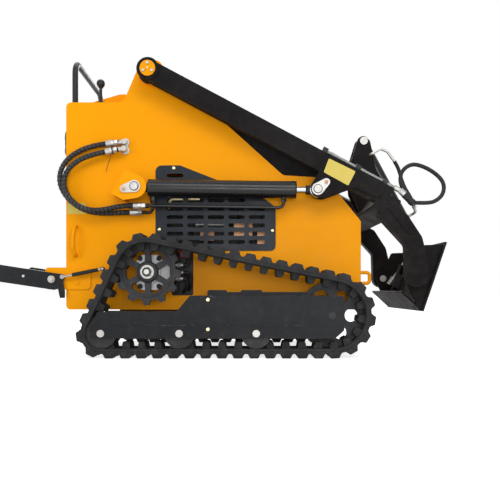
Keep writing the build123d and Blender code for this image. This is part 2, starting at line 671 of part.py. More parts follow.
AUX_BLOCK = arm_point(ARM_REACH + 101.84, 32.97)
TILT_LINE_REACH = EAR_OUT + 16
with BuildPart() as arm_fittings:
    collar = arm_point(ARM_REACH + 34, LINE_UP)
    rod(arm_point(ARM_REACH, LINE_UP), collar, 12, AUX_REACH)
    rod(collar, AUX_BLOCK, 15, AUX_REACH)
    with Locations((AUX_BLOCK[0], -AUX_REACH, AUX_BLOCK[1])):
        Sphere(16)
    disc(AUX_BLOCK, 9, AUX_REACH - 37, AUX_REACH)
    bent_bar([(800, -EAR_OUT, 1008), (800, -TILT_LINE_REACH, 1008), (852, -TILT_LINE_REACH, 1036),
              (886, -TILT_LINE_REACH, 1022), (922, -TILT_LINE_REACH, 971)], 12, 7)
save(arm_fittings.part, "arm_fittings")

with BuildPart() as rod_pin:
    pin_plate(LIFT_ROD_PIN, 39, ARM_OUT + DOUBLER)
save_both(rod_pin.part, "rod_pins")


# ---------------------------------------------------------------- lift cylinders
def on_lift(distance, up=0):
    """Side-view point on the lift cylinder's axis, from its base pin."""
    x, z = along(LIFT_BASE, LIFT_ROD_PIN, distance)
    lean = atan2(LIFT_ROD_PIN[1] - LIFT_BASE[1], LIFT_ROD_PIN[0] - LIFT_BASE[0])
    return (x - up * sin(lean), z + up * cos(lean))


LIFT_LENGTH = hypot(LIFT_ROD_PIN[0] - LIFT_BASE[0], LIFT_ROD_PIN[1] - LIFT_BASE[1])
BARREL_START, BARREL_END = 60, 748
GLAND = 30
PISTON = 40
LIFT_PISTON_AT = 104
EYE_IN, EYE_OUT = ARM_MID - EYE_WIDE / 2, ARM_MID + EYE_WIDE / 2

with BuildPart() as lift_barrel:
    rod(on_lift(BARREL_START), on_lift(BARREL_END), LIFT_BARREL_R, ARM_MID)
    rod(on_lift(0), on_lift(BARREL_START), 20, ARM_MID)
    disc(LIFT_BASE, EYE_R, EYE_IN, EYE_OUT)
    disc(LIFT_BASE, LIFT_PIN_R + RUNNING_FIT, EYE_IN, EYE_OUT, Mode.SUBTRACT)
    rod(on_lift(BARREL_START + 16), on_lift(BARREL_END - GLAND), LIFT_BORE_R, ARM_MID, Mode.SUBTRACT)
    rod(on_lift(BARREL_END - GLAND - 1), on_lift(BARREL_END + 1), LIFT_ROD_R + RUNNING_FIT, ARM_MID,
        Mode.SUBTRACT)
save_pair(lift_barrel.part, "lift_barrel")

LINE_DROP = -84
LINE_STEP = 30                      # between the two lines under the barrel, along Y
with BuildPart() as barrel_line:
    rod(on_lift(-5, LINE_DROP), on_lift(675, LINE_DROP), 7.5, ARM_MID)
    rod(on_lift(-31, LINE_DROP), on_lift(24, LINE_DROP), 13, ARM_MID)
    rod(on_lift(30, LINE_DROP), on_lift(52, LINE_DROP), 12, ARM_MID)
    rod(on_lift(690, LINE_DROP - 6), on_lift(690, -30), 13, ARM_MID)
    rod(on_lift(660, LINE_DROP), on_lift(704, LINE_DROP), 12, ARM_MID)
    rod(on_lift(-5, LINE_DROP - 28), on_lift(70, LINE_DROP - 28), 7.5, ARM_MID - LINE_STEP)
    rod(on_lift(-31, LINE_DROP - 28), on_lift(24, LINE_DROP - 28), 13, ARM_MID - LINE_STEP)
    rod(on_lift(78, LINE_DROP - 34), on_lift(78, -30), 12, ARM_MID - 20)
    rod(on_lift(0), on_lift(LIFT_LENGTH), LIFT_BARREL_R, ARM_MID, Mode.SUBTRACT)
save_pair(barrel_line.part, "barrel_line")

with BuildPart() as lift_rod:
    rod(on_lift(LIFT_PISTON_AT), on_lift(LIFT_LENGTH), LIFT_ROD_R, ARM_MID)
    rod(on_lift(LIFT_PISTON_AT), on_lift(LIFT_PISTON_AT + PISTON), LIFT_BORE_R - RUNNING_FIT, ARM_MID)
    disc(LIFT_ROD_PIN, EYE_R, EYE_IN, EYE_OUT)
    disc(LIFT_ROD_PIN, LIFT_PIN_R + RUNNING_FIT, EYE_IN, EYE_OUT, Mode.SUBTRACT)
save_pair(lift_rod.part, "lift_rod")


# ---------------------------------------------------------------- tilt cylinder
def on_tilt(distance):
    """Side-view point on the tilt cylinder's axis, from its base pin."""
    return along(TILT_BASE, TILT_ROD_PIN, distance)


TILT_LENGTH = hypot(TILT_ROD_PIN[0] - TILT_BASE[0], TILT_ROD_PIN[1] - TILT_BASE[1])
TILT_START, TILT_END = 46, 470
TILT_PISTON_AT = 139
with BuildPart() as tilt_barrel:
    rod(on_tilt(TILT_START), on_tilt(TILT_END), TILT_BARREL_R, 0)
    rod(on_tilt(0), on_tilt(TILT_START), 16, 0)
    disc(TILT_BASE, TILT_EYE_R, -TILT_EYE_WIDE / 2, TILT_EYE_WIDE / 2)
    disc(TILT_BASE, TILT_PIN_R + RUNNING_FIT, -TILT_EYE_WIDE / 2, TILT_EYE_WIDE / 2, Mode.SUBTRACT)
    rod(on_tilt(TILT_START + 14), on_tilt(TILT_END - GLAND), TILT_BORE_R, 0, Mode.SUBTRACT)
    rod(on_tilt(TILT_END - GLAND - 1), on_tilt(TILT_END + 1), TILT_ROD_R + RUNNING_FIT, 0,
        Mode.SUBTRACT)
    bent_bar([(1030, -40, 742), (1040, -34, 712), (1026, -16, 703), (1003, -9, 691)], 10, 7)
save(tilt_barrel.part, "tilt_barrel")

with BuildPart() as tilt_rod:
    rod(on_tilt(TILT_PISTON_AT), on_tilt(TILT_LENGTH), TILT_ROD_R, 0)
    rod(on_tilt(TILT_PISTON_AT), on_tilt(TILT_PISTON_AT + PISTON), TILT_BORE_R - RUNNING_FIT, 0)
    disc(TILT_ROD_PIN, TILT_EYE_R, -TILT_EYE_WIDE / 2, TILT_EYE_WIDE / 2)
    disc(TILT_ROD_PIN, TILT_PIN_R + RUNNING_FIT, -TILT_EYE_WIDE / 2, TILT_EYE_WIDE / 2, Mode.SUBTRACT)
save(tilt_rod.part, "tilt_rod")


# ---------------------------------------------------------------- quick attach
SIN_Q, COS_Q = sin(radians(QA_TILT)), cos(radians(QA_TILT))
QA_HEIGHT = hypot(QA_TOP[0] - QA_BOTTOM[0], QA_TOP[1] - QA_BOTTOM[1])


def attach_point(up, back):
    """Side-view point on the attach plate: up from its lower edge, and behind its face."""
    return (QA_BOTTOM[0] + up * SIN_Q - back * COS_Q, QA_BOTTOM[1] + up * COS_Q + back * SIN_Q)


QA_PLATE = 10
QA_EAR_IN, QA_EAR_OUT = 26, 38
LOCK_PINS = (72 - QA_HALF, QA_HALF - 72)
with BuildPart() as attach_plate:
    between_panels([attach_point(0, 0), attach_point(QA_HEIGHT, 0),
                    attach_point(QA_HEIGHT, QA_PLATE), attach_point(0, QA_PLATE)], QA_HALF)
    between_panels([attach_point(0, QA_PLATE), attach_point(9, QA_PLATE), (893, 303), (886, 296)],
                   QA_SIDE, (0, 0, 3, 3))
    with BuildSketch(side_plane(-QA_EAR_IN)) as notch:
        polygon([attach_point(250, -1), attach_point(QA_HEIGHT + 1, -1),
                 attach_point(QA_HEIGHT + 1, QA_PLATE + 1), attach_point(250, QA_PLATE + 1)])
    extrude(notch.sketch, amount=2 * QA_EAR_IN, mode=Mode.SUBTRACT)
    for inner in (QA_EAR_IN, -QA_EAR_OUT):
        with BuildSketch(side_plane(inner)) as ear:
            polygon([attach_point(130, QA_PLATE), attach_point(QA_HEIGHT - 6, QA_PLATE),
                     (1052, 543), (1046, 505), attach_point(150, 60)], (0, 0, 20, 20, 20))
        extrude(ear.sketch, amount=QA_EAR_OUT - QA_EAR_IN)
        disc(TILT_ROD_PIN, 20, inner, inner + QA_EAR_OUT - QA_EAR_IN)
    side_outline = [(912, 425), (973, 468), (997, 519), attach_point(QA_HEIGHT - 12, QA_PLATE),
                    attach_point(0, QA_PLATE), (921, 325)]
    for inner in (QA_SIDE - 12, -QA_SIDE):
        with BuildSketch(side_plane(inner)) as cheek:
            polygon(side_outline, (10, 20, 14, 0, 0, 10))
            with Locations(QA_HINGE):
                Circle(40)
                Circle(QA_PIN_R + RUNNING_FIT, mode=Mode.SUBTRACT)
        extrude(cheek.sketch, amount=12)
    for reach in LOCK_PINS:
        rod(attach_point(-9, 30), attach_point(70, 30), 11 + RUNNING_FIT, reach, Mode.SUBTRACT)
save(attach_plate.part, "quick_attach")

LATCH_REACH = QA_HALF - 122
with BuildPart() as latches:
    for reach in (-LATCH_REACH - 12, LATCH_REACH):
        with BuildSketch(side_plane(reach)) as block:
            polygon([attach_point(110, QA_PLATE), attach_point(190, QA_PLATE),
                     attach_point(190, 46), attach_point(110, 46)], 6)
        extrude(block.sketch, amount=12)
    for reach in LOCK_PINS:
        rod(attach_point(20, 30), attach_point(250, 30), 11, reach)
save(latches.part, "attach_latches")

# ---------------------------------------------------------------- folding platform
SIDE_IN = PLATFORM_OUT - 8
with BuildPart() as platform:
    side_arm = [(-693, 377), (-747, 305), (-840, 319), (PLATFORM_REAR, 358),
                (PLATFORM_REAR, 440), (-837, 399)]
    for inner in (SIDE_IN, -PLATFORM_OUT):
        with BuildSketch(side_plane(inner)) as side_bar:
            polygon(side_arm, (12, 20, 20, 14, 14, 20))
            with Locations(FOLD_PIN):
                Circle(FOLD_PIN_R + RUNNING_FIT, mode=Mode.SUBTRACT)
        extrude(side_bar.sketch, amount=8)
    between_panels([(PLATFORM_REAR + 6, 424), (-850, 386), (-850, 378), (PLATFORM_REAR + 6, 416)],
                   SIDE_IN)
    between_panels([(PLATFORM_REAR + 6, 416), (PLATFORM_REAR + 12, 416), (PLATFORM_REAR + 12, 368),
                    (PLATFORM_REAR + 6, 368)], SIDE_IN)
    between_panels([(-850, 386), (-842, 386), (-842, 330), (-850, 330)], SIDE_IN)
    for inner in (SIDE_IN, -PLATFORM_OUT):
        with BuildSketch(side_plane(inner)) as stop:
            polygon([(-727, 268), (-704, 268), (-704, 300), (-712, 350), (-738, 322)], 3)
        extrude(stop.sketch, amount=8)
    disc(STRUT_EYE, 6, PLATFORM_OUT, STRUT_MID - 7 - FLAT_GAP)
    disc(STRUT_EYE, 6, -STRUT_MID + 7 + FLAT_GAP, -PLATFORM_OUT)
save(platform.part, "platform")

BRACKET_PLATE = 6
with BuildPart() as platform_bracket:
    slab([(-800, 322), (-789, 309), (-596, 309), (-584, 320), (-584, 404), (-594, 413),
          (-790, 413), (-800, 402)], HALF_BODY, HALF_BODY + BRACKET_PLATE, 4)
    disc(FOLD_PIN, 17, HALF_BODY + BRACKET_PLATE, SIDE_IN - FLAT_GAP)
    disc(FOLD_PIN, FOLD_PIN_R, HALF_BODY, PLATFORM_OUT)
    disc(FOLD_PIN, 17, PLATFORM_OUT + FLAT_GAP, PLATFORM_OUT + 7)
    disc(FOLD_PIN, FOLD_PIN_R, PLATFORM_OUT, PLATFORM_OUT + 7)
    disc((-649, 340), 9, HALF_BODY + BRACKET_PLATE, HALF_BODY + BRACKET_PLATE + 5)
    disc(STRUT_BASE, 6, HALF_BODY, STRUT_MID - STRUT_R)
save_both(platform_bracket.part, "platform_brackets")

STRUT_LENGTH = hypot(STRUT_EYE[0] - STRUT_BASE[0], STRUT_EYE[1] - STRUT_BASE[1])
STRUT_TUBE_START, STRUT_TUBE_END = 22, 147
STRUT_PISTON_AT = 84


def on_strut(distance):
    """Side-view point on the gas strut's axis, from its body stud."""
    return along(STRUT_BASE, STRUT_EYE, distance)


with BuildPart() as strut_tube:
    rod(on_strut(STRUT_TUBE_START), on_strut(STRUT_TUBE_END), STRUT_R, STRUT_MID)
    rod(on_strut(0), on_strut(STRUT_TUBE_START), 5, STRUT_MID)
    disc(STRUT_BASE, 10, STRUT_MID - 7, STRUT_MID + 7)
    disc(STRUT_BASE, 6 + RUNNING_FIT, STRUT_MID - 8, STRUT_MID + 8, Mode.SUBTRACT)
    rod(on_strut(STRUT_TUBE_START + 8), on_strut(STRUT_TUBE_END - 8), STRUT_R - 1.5, STRUT_MID,
        Mode.SUBTRACT)
    rod(on_strut(STRUT_TUBE_END - 9), on_strut(STRUT_TUBE_END + 1), STRUT_ROD_R + RUNNING_FIT,
        STRUT_MID, Mode.SUBTRACT)
save_pair(strut_tube.part, "strut_tube")

with BuildPart() as strut_rod:
    rod(on_strut(STRUT_PISTON_AT), on_strut(STRUT_LENGTH - 5), STRUT_ROD_R, STRUT_MID)
    rod(on_strut(STRUT_PISTON_AT), on_strut(STRUT_PISTON_AT + 10), STRUT_R - 1.5 - RUNNING_FIT,
        STRUT_MID)
    disc(STRUT_EYE, 10, STRUT_MID - 7, STRUT_MID + 7)
save_pair(strut_rod.part, "strut_rod")

# ---------------------------------------------------------------- hydraulic hoses
HOSE_R = 14
THIN_HOSE_R = 9.5
OUTER_PORT, INNER_PORT = (-420, 971), (-420, 1007)
OUTER_PORT_REACH, INNER_PORT_REACH = HALF_BODY + 36, HALF_BODY + 22
with BuildPart() as hose_ports:
    for (x, z), reach in ((OUTER_PORT, OUTER_PORT_REACH), (INNER_PORT, INNER_PORT_REACH)):
        disc((x, z), 20, HALF_BODY, HALF_BODY + 6)
        disc((x, z), 12, HALF_BODY + 6, reach + 12)
        rod((x, z), (x - 24, z - 3), 11, reach)
save_both(hose_ports.part, "hose_ports")

outer_route = [
    (-395, -ARM_MID, 700), (-440, -ARM_MID, 697), (-492, -ARM_MID, 684), (-556, -ARM_MID, 676),
    (-622, 2 - ARM_MID, 692), (-676, 5 - ARM_MID, 738), (-702, 10 - ARM_MID, 800),
    (-690, -OUTER_PORT_REACH - 13, 862), (-641, -OUTER_PORT_REACH - 8, 912),
    (-572, -OUTER_PORT_REACH - 4, 942), (-505, -OUTER_PORT_REACH - 1, 957),
    (-445, -OUTER_PORT_REACH, 968),
]
inner_line = ARM_MID - LINE_STEP
inner_route = [
    (-395, -inner_line, 672), (-440, -inner_line, 671), (-500, -inner_line, 668),
    (-566, 1 - inner_line, 670), (-634, 2 - inner_line, 694), (-692, 3 - inner_line, 742),
    (-724, 4 - inner_line, 800), (-726, 6 - inner_line, 862), (-694, -INNER_PORT_REACH - 3, 922),
    (-634, -INNER_PORT_REACH, 966), (-560, -INNER_PORT_REACH, 990),
    (-500, -INNER_PORT_REACH, 999), (-445, -INNER_PORT_REACH, 1004),
]
tilt_route = [
    (922.3, -TILT_LINE_REACH, 970.6), (936, -TILT_LINE_REACH, 951),
    (950, 2 - TILT_LINE_REACH, 915), (962, 5 - TILT_LINE_REACH, 872),
    (980, 9 - TILT_LINE_REACH, 832), (1004, 15 - TILT_LINE_REACH, 798), (1022, -44.8, 766),
    (1028.7, -40.8, 745.6),
]
AUX_RETURN = AUX_REACH - 28
aux_steps = [
    (16.3, -AUX_REACH, -4), (60, -AUX_REACH, -6), (109, 1 - AUX_REACH, 0),
    (149, 3 - AUX_REACH, 36), (153, 6 - AUX_REACH, 90), (115, 10 - AUX_REACH, 134),
    (59, 15 - AUX_REACH, 168), (5, -AUX_RETURN - 8, 182), (-41, -AUX_RETURN - 3, 150),
    (-48, -AUX_RETURN, 102), (-33, -AUX_RETURN, 60), (-14, -AUX_RETURN, 32),
    (-2.8, -AUX_RETURN, 9.2),
]
aux_route = [(AUX_BLOCK[0] + x, y, AUX_BLOCK[1] + z) for x, y, z in aux_steps]
save(hose(tilt_route, THIN_HOSE_R), "tilt_hose")
save(hose(aux_route, THIN_HOSE_R), "aux_hose")
save_pair(hose(outer_route, HOSE_R), "lift_hose_outer")
save_pair(hose(inner_route, HOSE_R), "lift_hose_inner")
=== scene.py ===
"""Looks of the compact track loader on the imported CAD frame, drawn in mm and scaled once."""
import bmesh
import bpy
from functools import partial
from math import atan2, ceil, cos, hypot, pi, radians, sin, sqrt
from mathutils import Matrix, Vector


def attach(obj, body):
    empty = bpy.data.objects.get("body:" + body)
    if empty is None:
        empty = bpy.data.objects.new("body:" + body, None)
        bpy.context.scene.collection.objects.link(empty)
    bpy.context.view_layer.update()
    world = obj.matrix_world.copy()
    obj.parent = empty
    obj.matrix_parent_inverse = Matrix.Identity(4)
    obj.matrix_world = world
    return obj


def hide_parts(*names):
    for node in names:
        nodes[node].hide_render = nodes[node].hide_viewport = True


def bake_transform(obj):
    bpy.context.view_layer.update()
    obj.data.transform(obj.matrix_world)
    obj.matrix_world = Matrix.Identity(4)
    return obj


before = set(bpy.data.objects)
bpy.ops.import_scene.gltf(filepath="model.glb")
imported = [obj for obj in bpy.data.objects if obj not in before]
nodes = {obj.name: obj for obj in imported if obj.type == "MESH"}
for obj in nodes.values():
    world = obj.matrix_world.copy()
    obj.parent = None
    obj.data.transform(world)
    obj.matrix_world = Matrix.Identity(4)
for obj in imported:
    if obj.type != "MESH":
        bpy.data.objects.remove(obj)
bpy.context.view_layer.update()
scene = bpy.context.scene
MM = 0.001
UP, AHEAD, REARWARD, LEFTWARD = (0, 0, 1), (1, 0, 0), (-1, 0, 0), (0, 1, 0)
OUT = (0, -1, 0)                    # away from the machine on its right-hand side


def placed(name, data):
    """New object in the scene."""
    obj = bpy.data.objects.new(name, data)
    scene.collection.objects.link(obj)
    return obj


def math_node(tree, operation, first, second):
    """Socket with the result of an operation on two sockets."""
    node = tree.nodes.new("ShaderNodeMath")
    node.operation = operation
    tree.links.new(first, node.inputs[0])
    tree.links.new(second, node.inputs[1])
    return node.outputs[0]


def ramp_node(tree, value, low, high, to_low=0.0, to_high=1.0):
    """Socket that runs from to_low to to_high while a socket runs from low to high."""
    node = tree.nodes.new("ShaderNodeMapRange")
    node.inputs["From Min"].default_value, node.inputs["From Max"].default_value = low, high
    node.inputs["To Min"].default_value, node.inputs["To Max"].default_value = to_low, to_high
    tree.links.new(value, node.inputs["Value"])
    return node.outputs[0]


# -------------------------------- camera and light
camera = placed("camera", bpy.data.cameras.new("camera"))
camera.location = (0.150, -3.440, 0.306)
camera.rotation_euler = (radians(90), 0, 0)
camera.data.lens, camera.data.sensor_width = 47.0, 36.0
camera.data.shift_x, camera.data.shift_y = 0.01, 0.08
scene.camera = camera
scene.view_settings.view_transform = "Standard"


def area_light(name, place, aim, size, power):
    """Rectangular soft light at a place, turned to a point, in metres and watts."""
    lamp = bpy.data.lights.new(name, "AREA")
    lamp.shape, lamp.energy = "RECTANGLE", power
    lamp.size, lamp.size_y = size
    obj = placed(name, lamp)
    obj.location = place
    obj.rotation_euler = (Vector(aim) - Vector(place)).to_track_quat("-Z", "Y").to_euler()


area_light("key", (0.9, -3.6, 3.4), (0.1, 0, 0.6), (3.6, 1.6), 94)
area_light("fill", (-3.2, -3.0, 1.3), (-0.2, 0, 0.5), (2.0, 2.4), 46)
area_light("front", (0.6, -4.6, 0.75), (0.2, 0, 0.5), (2.4, 1.4), 50)
area_light("top", (0, 0.4, 3.8), (0, 0, 0.8), (3.2, 2.4), 60)
area_light("behind", (0.4, 3.6, 2.2), (0, 0, 0.6), (3.0, 1.6), 85)


def seen_rays(tree):
    """Socket that is 1 for rays from the camera, straight, mirrored or through glass."""
    rays = tree.nodes.new("ShaderNodeLightPath").outputs
    result = rays["Is Camera Ray"]
    for kind in ("Is Glossy Ray", "Is Transmission Ray"):
        result = math_node(tree, "MAXIMUM", result, rays[kind])
    return result


world = bpy.data.worlds.new("studio")
scene.world = world
world.use_nodes = True
world_tree = world.node_tree
world_tree.nodes.clear()
world_mix = world_tree.nodes.new("ShaderNodeMixShader")
world_out = world_tree.nodes.new("ShaderNodeOutputWorld")
world_tree.links.new(seen_rays(world_tree), world_mix.inputs["Fac"])
for socket, colour, strength in ((1, (0.93, 0.96, 1.0, 1), 0.42),      # what lights the machine
                                 (2, (1, 1, 1, 1), 1.0)):              # white backdrop
    background = world_tree.nodes.new("ShaderNodeBackground")
    background.inputs["Color"].default_value = colour
    background.inputs["Strength"].default_value = strength
    world_tree.links.new(background.outputs[0], world_mix.inputs[socket])
world_tree.links.new(world_mix.outputs[0], world_out.inputs["Surface"])


# -------------------------------- materials
DUST_TOP = 0.9                      # height in metres above which dust is thinnest
EDGE_WEAR_AND_HIGHLIGHT_SAMPLES = 4


def finish(name, base, rough, metal=0.0, vary=0.08, grain=700, bump=0.05, dust=None,
           dust_share=0.25, edge_wear_and_highlight=None, edge_wear_and_highlight_size=0.0015, rough_vary=0.08, gloss=0.5):
    """Procedural finish: colour drift, fine bump, dust that gathers low down, and lighter edges
    that are partly wear and partly a painted highlight.
    """
    material = bpy.data.materials.new(name)
    material.use_nodes = True
    tree = material.node_tree
    shader = tree.nodes["Principled BSDF"]
    new, link = tree.nodes.new, tree.links.new
    ramp, product = partial(ramp_node, tree), partial(math_node, tree, "MULTIPLY")

    def noise(scale, detail):
        texture = new("ShaderNodeTexNoise")
        texture.inputs["Scale"].default_value = scale
        texture.inputs["Detail"].default_value = detail
        link(place.outputs["Object"], texture.inputs["Vector"])
        return texture.outputs["Fac"]

    def mix(factor, first, second):
        node = new("ShaderNodeMix")
        node.data_type = "RGBA"
        for socket, value in ((node.inputs[6], first), (node.inputs[7], second)):
            if isinstance(value, tuple):
                socket.default_value = (*value, 1)
            else:
                link(value, socket)
        link(factor, node.inputs[0])
        return node.outputs[2]

    place = new("ShaderNodeTexCoord")
    drift = noise(2.3, 4.0)
    dark = tuple(c * (1 - vary) for c in base)
    light = tuple(min(1.0, c * (1 + vary) + vary * 0.01) for c in base)
    colour = mix(ramp(drift, 0.35, 0.65), dark, light)
    roughness = ramp(noise(14.0, 5.0), 0.3, 0.7, rough - rough_vary, rough + rough_vary)
    if dust:
        spots = ramp(noise(26.0, 8.0), 0.48, 0.72, 0.0, dust_share)
        split = new("ShaderNodeSeparateXYZ")
        link(place.outputs["Object"], split.inputs[0])
        low_down = ramp(split.outputs["Z"], DUST_TOP, 0.0, 0.35, 1.0)
        colour = mix(product(spots, low_down), colour, dust)
    # lighter colour along the edges: partly worn paint, partly a painted edge highlight
    if edge_wear_and_highlight:
        rounded = new("ShaderNodeBevel")
        rounded.samples = EDGE_WEAR_AND_HIGHLIGHT_SAMPLES
        rounded.inputs["Radius"].default_value = edge_wear_and_highlight_size
        surface = new("ShaderNodeNewGeometry")
        turn = new("ShaderNodeVectorMath")
        turn.operation = "DOT_PRODUCT"
        link(rounded.outputs[0], turn.inputs[0])
        link(surface.outputs["Normal"], turn.inputs[1])
        edge = product(ramp(turn.outputs["Value"], 0.97, 0.75), ramp(noise(38.0, 4.0), 0.45, 0.6))
        colour = mix(edge, colour, edge_wear_and_highlight)
    link(colour, shader.inputs["Base Color"])
    link(roughness, shader.inputs["Roughness"])
    shader.inputs["Metallic"].default_value = metal
    shader.inputs["Specular IOR Level"].default_value = gloss
    relief = new("ShaderNodeBump")
    relief.inputs["Strength"].default_value = bump
    relief.inputs["Distance"].default_value = MM
    link(noise(grain, 2.0), relief.inputs["Height"])
    link(relief.outputs[0], shader.inputs["Normal"])
    return material


DUST = (0.30, 0.25, 0.18)
# bare steel colour for worn edges, which also serves as a painted edge highlight
WORN_STEEL_AND_HIGHLIGHT = (0.42, 0.40, 0.37)
LOOKS = {
    "body_paint": dict(base=(0.80, 0.30, 0.001), rough=0.36, vary=0.035, grain=260, bump=0.045,
        dust=(0.62, 0.27, 0.03), dust_share=0.16, gloss=0.06),
    "arm_black": dict(base=(0.010, 0.009, 0.009), rough=0.58, vary=0.25, grain=300, bump=0.12,
        dust=(0.06, 0.045, 0.036), dust_share=0.3, edge_wear_and_highlight=(0.11, 0.09, 0.08), gloss=0.04),
    "barrel_black": dict(base=(0.006, 0.006, 0.007), rough=0.24, vary=0.2, grain=300, bump=0.06,
        dust=(0.05, 0.04, 0.03), dust_share=0.25, gloss=0.3),
    "frame_black": dict(base=(0.014, 0.015, 0.017), rough=0.5, vary=0.2, grain=420, bump=0.15,
        dust=DUST, dust_share=0.03, edge_wear_and_highlight=WORN_STEEL_AND_HIGHLIGHT, edge_wear_and_highlight_size=0.0010, gloss=0.10),
    "grille_paint": dict(base=(0.017, 0.021, 0.027), rough=0.34, vary=0.15, grain=500, bump=0.05,
        edge_wear_and_highlight=(0.13, 0.14, 0.15), gloss=0.12),
    "track_rubber": dict(base=(0.020, 0.020, 0.021), rough=0.72, vary=0.22, grain=900, bump=0.35,
        dust=(0.07, 0.067, 0.062), dust_share=0.4, edge_wear_and_highlight=(0.07, 0.07, 0.07), edge_wear_and_highlight_size=0.002,
        gloss=0.15),
    "cast_dark": dict(base=(0.030, 0.030, 0.032), rough=0.55, metal=0.2, vary=0.2, grain=380,
        bump=0.5, dust=(0.10, 0.092, 0.085), dust_share=0.3, edge_wear_and_highlight=(0.15, 0.15, 0.15), gloss=0.15),
    "zinc": dict(base=(0.41, 0.40, 0.38), rough=0.40, metal=0.75, vary=0.08, grain=800, bump=0.05,
        dust=(0.45, 0.42, 0.36), dust_share=0.35),
    "pale_gold": dict(base=(0.78, 0.66, 0.36), rough=0.33, metal=0.85, vary=0.1, grain=800,
        bump=0.04),
    "copper_brown": dict(base=(0.46, 0.24, 0.13), rough=0.4, metal=0.6, vary=0.2, grain=600,
        bump=0.1),
    "chrome_rod": dict(base=(0.36, 0.37, 0.38), rough=0.22, metal=1.0, vary=0.03, grain=900,
        bump=0.01, rough_vary=0.03),
    "line_grey": dict(base=(0.20, 0.205, 0.19), rough=0.36, metal=0.3, vary=0.1, grain=500,
        bump=0.06, dust=DUST, dust_share=0.25),
    "hose_rubber": dict(base=(0.014, 0.014, 0.016), rough=0.5, vary=0.2, grain=600, bump=0.2,
        dust=(0.09, 0.085, 0.08), dust_share=0.3, gloss=0.18),
    "black_plastic": dict(base=(0.011, 0.011, 0.012), rough=0.45, vary=0.15, grain=1200, bump=0.12,
        gloss=0.2),
    "wrap_plastic": dict(base=(0.030, 0.031, 0.033), rough=0.35, vary=0.3, grain=400, bump=0.1,
        dust=(0.12, 0.115, 0.11), dust_share=0.4, gloss=0.4),
    "pad_vinyl": dict(base=(0.012, 0.012, 0.013), rough=0.55, vary=0.12, grain=650, bump=0.45,
        gloss=0.15),
    "engine_cast": dict(base=(0.20, 0.19, 0.18), rough=0.5, metal=0.5, vary=0.3, grain=200,
        bump=0.5),
    "tread_plate": dict(base=(0.03, 0.03, 0.032), rough=0.5, vary=0.2, grain=400, bump=0.3,
        edge_wear_and_highlight=WORN_STEEL_AND_HIGHLIGHT),
    "label_yellow": dict(base=(0.56, 0.43, 0.055), rough=0.4, vary=0.06, grain=300, bump=0.02,
        dust=(0.35, 0.28, 0.1), dust_share=0.2),
    "motor_grey": dict(base=(0.50, 0.51, 0.52), rough=0.4, metal=0.3, vary=0.12, grain=300,
        bump=0.25),
    "red_cap": dict(base=(0.45, 0.02, 0.03), rough=0.4, vary=0.1, grain=500, bump=0.05),
}
materials = {name: finish(name, **look) for name, look in LOOKS.items()}
# CAD nodes, without their sides, by the look they get
NODES_BY_LOOK = {
    "body_paint": "belly_plate console front_wall hydraulic_tank lift_brackets platform_brackets "
                  "rear_wall side_panel tie_downs tower_deck",
    "arm_black": "arm_crossbeam hood loader_arm quick_attach tilt_bracket",
    "frame_black": "cross_tubes platform track_frame",
    "cast_dark": "attach_latches idlers sprocket track_rollers",
    "zinc": "arm_fittings base_pins hose_ports rod_pins roller_bolts tilt_pin",
    "chrome_rod": "lift_rod strut_rod tilt_rod",
    "barrel_black": "barrel_line lift_barrel tilt_barrel",
    "hose_rubber": "aux_hose lift_hose_inner lift_hose_outer tilt_hose",
    "black_plastic": "control_levers grab_bar strut_tube",
    "grille_paint": "side_grilles",
    "line_grey": "arm_lines",
    "motor_grey": "drive_motors",
    "track_rubber": "track",
    "pad_vinyl": "thigh_pad",
    "engine_cast": "engine",
}
look_of = {kind: look for look, kinds in NODES_BY_LOOK.items() for kind in kinds.split()}
UNROUNDED = "track lift_hose_outer lift_hose_inner tilt_hose aux_hose thigh_pad".split()


def soften(obj, width, angle):
    """Rounds the edges that are sharper than an angle, by a width in mm."""
    bevel = obj.modifiers.new("bevel", "BEVEL")
    bevel.width, bevel.segments = width * MM, 2
    bevel.limit_method, bevel.angle_limit = "ANGLE", radians(angle)
    return bevel


for name, node in nodes.items():
    kind = name.removesuffix("_right").removesuffix("_left")
    node.data.materials.clear()
    node.data.materials.append(materials[look_of[kind]])
    if kind not in UNROUNDED:
        weld = node.modifiers.new("weld", "WELD")
        weld.merge_threshold = 0.02 * MM
        soften(node, 1.2, 38)
        even = node.modifiers.new("even", "WEIGHTED_NORMAL")
        even.keep_sharp = False


# -------------------------------- making pieces
def mesh_piece(name, shape, body, look, bevel=0.0, angle=35):
    """Turns a bmesh in mm into a piece; it rides on the body, if one is given."""
    bmesh.ops.recalc_face_normals(shape, faces=shape.faces)
    mesh = bpy.data.meshes.new(name)
    shape.to_mesh(mesh)
    shape.free()
    mesh.transform(Matrix.Scale(MM, 4))
    for polygon in mesh.polygons:
        polygon.use_smooth = True
    mesh.set_sharp_from_angle(angle=radians(angle))
    mesh.materials.append(materials[look])
    obj = placed(name, mesh)
    if bevel:
        soften(obj, bevel, angle).harden_normals = True
    if body:
        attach(obj, body)
    return obj


def frame_of(axis):
    """Two directions square to an axis."""
    axis = Vector(axis).normalized()
    helper = Vector(UP if abs(axis.z) < 0.9 else AHEAD)
    first = axis.cross(helper).normalized()
    return first, axis.cross(first)


